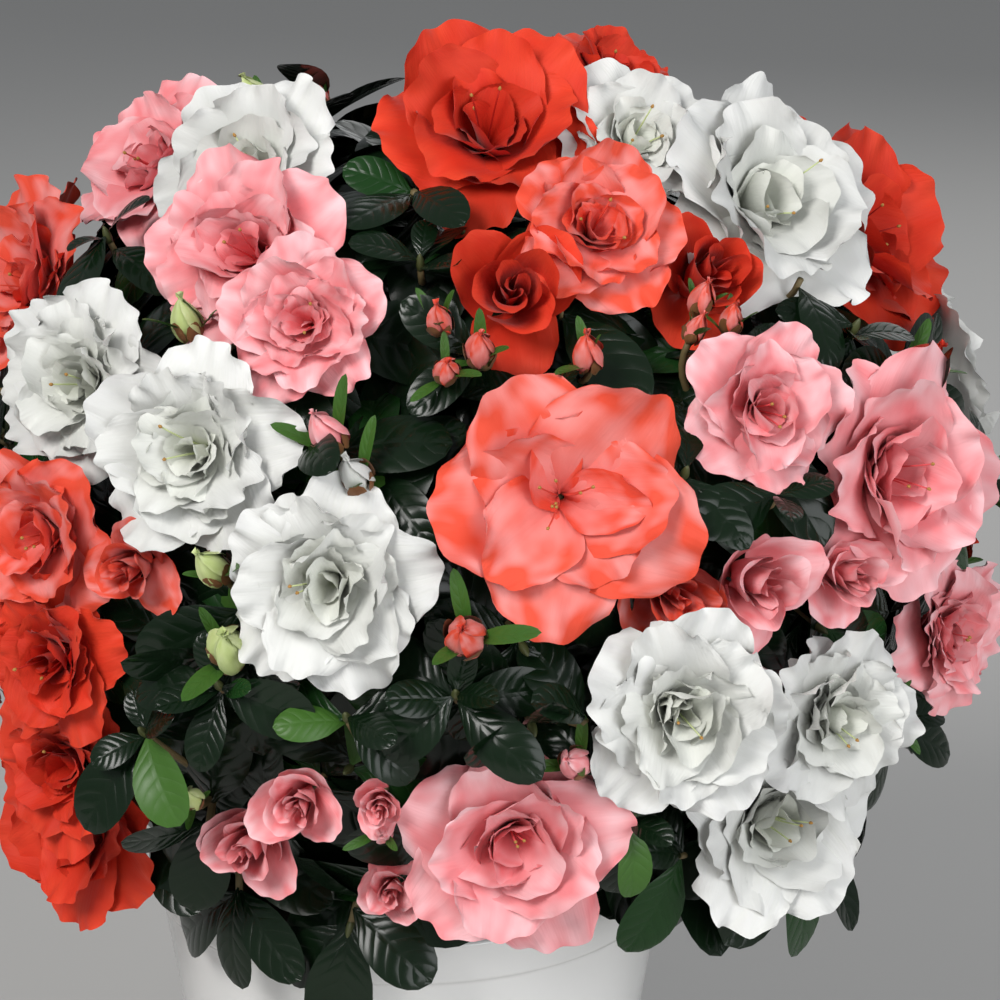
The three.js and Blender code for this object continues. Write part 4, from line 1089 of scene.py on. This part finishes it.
# Leaf buds: each leafy tip and side shoot ends in a small pointed bud of green-brown scales, except where it
# would stand among petals.
leafy_tips = np.concatenate([tips[~flowering], side_curves[:, 2], tuft_places])
leafy_ways = np.concatenate([(tips - bends)[~flowering], side_curves[:, 2] - side_curves[:, 1], tuft_axes])
leafy_ways = unit(leafy_ways)
along_bud = leafy_tips[:, None] + leafy_ways[:, None] * np.array([[0.0], [2.5], [5.0]])
free = ~among_petals(along_bud, slope=0.1).any(1)
bud_roots = (leafy_tips - leafy_ways)[free]
points, faces = beads(bud_roots, leafy_ways[free], length=6.0, girth=1.2, rows=6, sides=8)
end_bud, tree, shader = finish("leaf_bud", (0.07, 0.08, 0.025), 0.5)
piece("leaf_buds", points, faces, end_bud, "bud_scale")

# The studio: a plain pale floor, a large soft light from the upper left front, a fill from the right and a
# pale surround. The camera looks along +Y from 17 degrees above level, as the photograph does.
floor_mesh = bpy.data.meshes.new("studio_floor")
floor_mesh.from_pydata([(-20, -20, 0), (20, -20, 0), (20, 20, 0), (-20, 20, 0)], [], [(0, 1, 2, 3)])
floor = bpy.data.objects.new("studio_floor", floor_mesh)
bpy.context.scene.collection.objects.link(floor)
floor_material, tree, shader = finish("pale_floor", (0.52, 0.515, 0.50), 0.7)
floor_mesh.materials.append(floor_material)
floor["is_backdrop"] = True

world = bpy.data.worlds.new("studio")
bpy.context.scene.world = world
world.use_nodes = True
world.node_tree.nodes["Background"].inputs["Color"].default_value = (0.60, 0.62, 0.65, 1)
world.node_tree.nodes["Background"].inputs["Strength"].default_value = 0.4


def soft_light(name, place, target, size, power, colour):
    """A square area light at a place, facing a target."""
    data = bpy.data.lights.new(name, "AREA")
    data.shape, data.size, data.energy, data.color = "SQUARE", size, power, colour
    light = bpy.data.objects.new(name, data)
    light.location = place
    light.rotation_euler = (Vector(target) - Vector(place)).to_track_quat("-Z", "Y").to_euler()
    bpy.context.scene.collection.objects.link(light)


soft_light("window", (-0.75, -1.2, 1.3), (0, 0, 0.22), size=0.7, power=23, colour=(1.0, 0.98, 0.96))
soft_light("fill", (1.1, -1.3, 0.7), (0, 0, 0.2), size=1.2, power=16, colour=(0.97, 0.98, 1.0))
soft_light("rim", (0.5, 1.3, 1.2), (0, 0, 0.25), size=1.2, power=6, colour=(1.0, 1.0, 1.0))

camera_data = bpy.data.cameras.new("camera")
camera = bpy.data.objects.new("camera", camera_data)
bpy.context.scene.collection.objects.link(camera)
target = Vector((0.026, 0, 0.238))
elevation, distance, half_width = np.radians(17), 0.92, 0.1429
camera.location = target + Vector((0, -np.cos(elevation), np.sin(elevation))) * distance
camera.rotation_euler = (target - camera.location).to_track_quat("-Z", "Y").to_euler()
camera_data.sensor_width = 36
camera_data.lens = 18 * distance / half_width
bpy.context.scene.camera = camera
bpy.context.scene.view_settings.view_transform = "Standard"
light_paths = bpy.context.scene.cycles
light_paths.max_bounces, light_paths.diffuse_bounces, light_paths.glossy_bounces = 5, 4, 1
light_paths.use_light_tree = False

low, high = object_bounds()
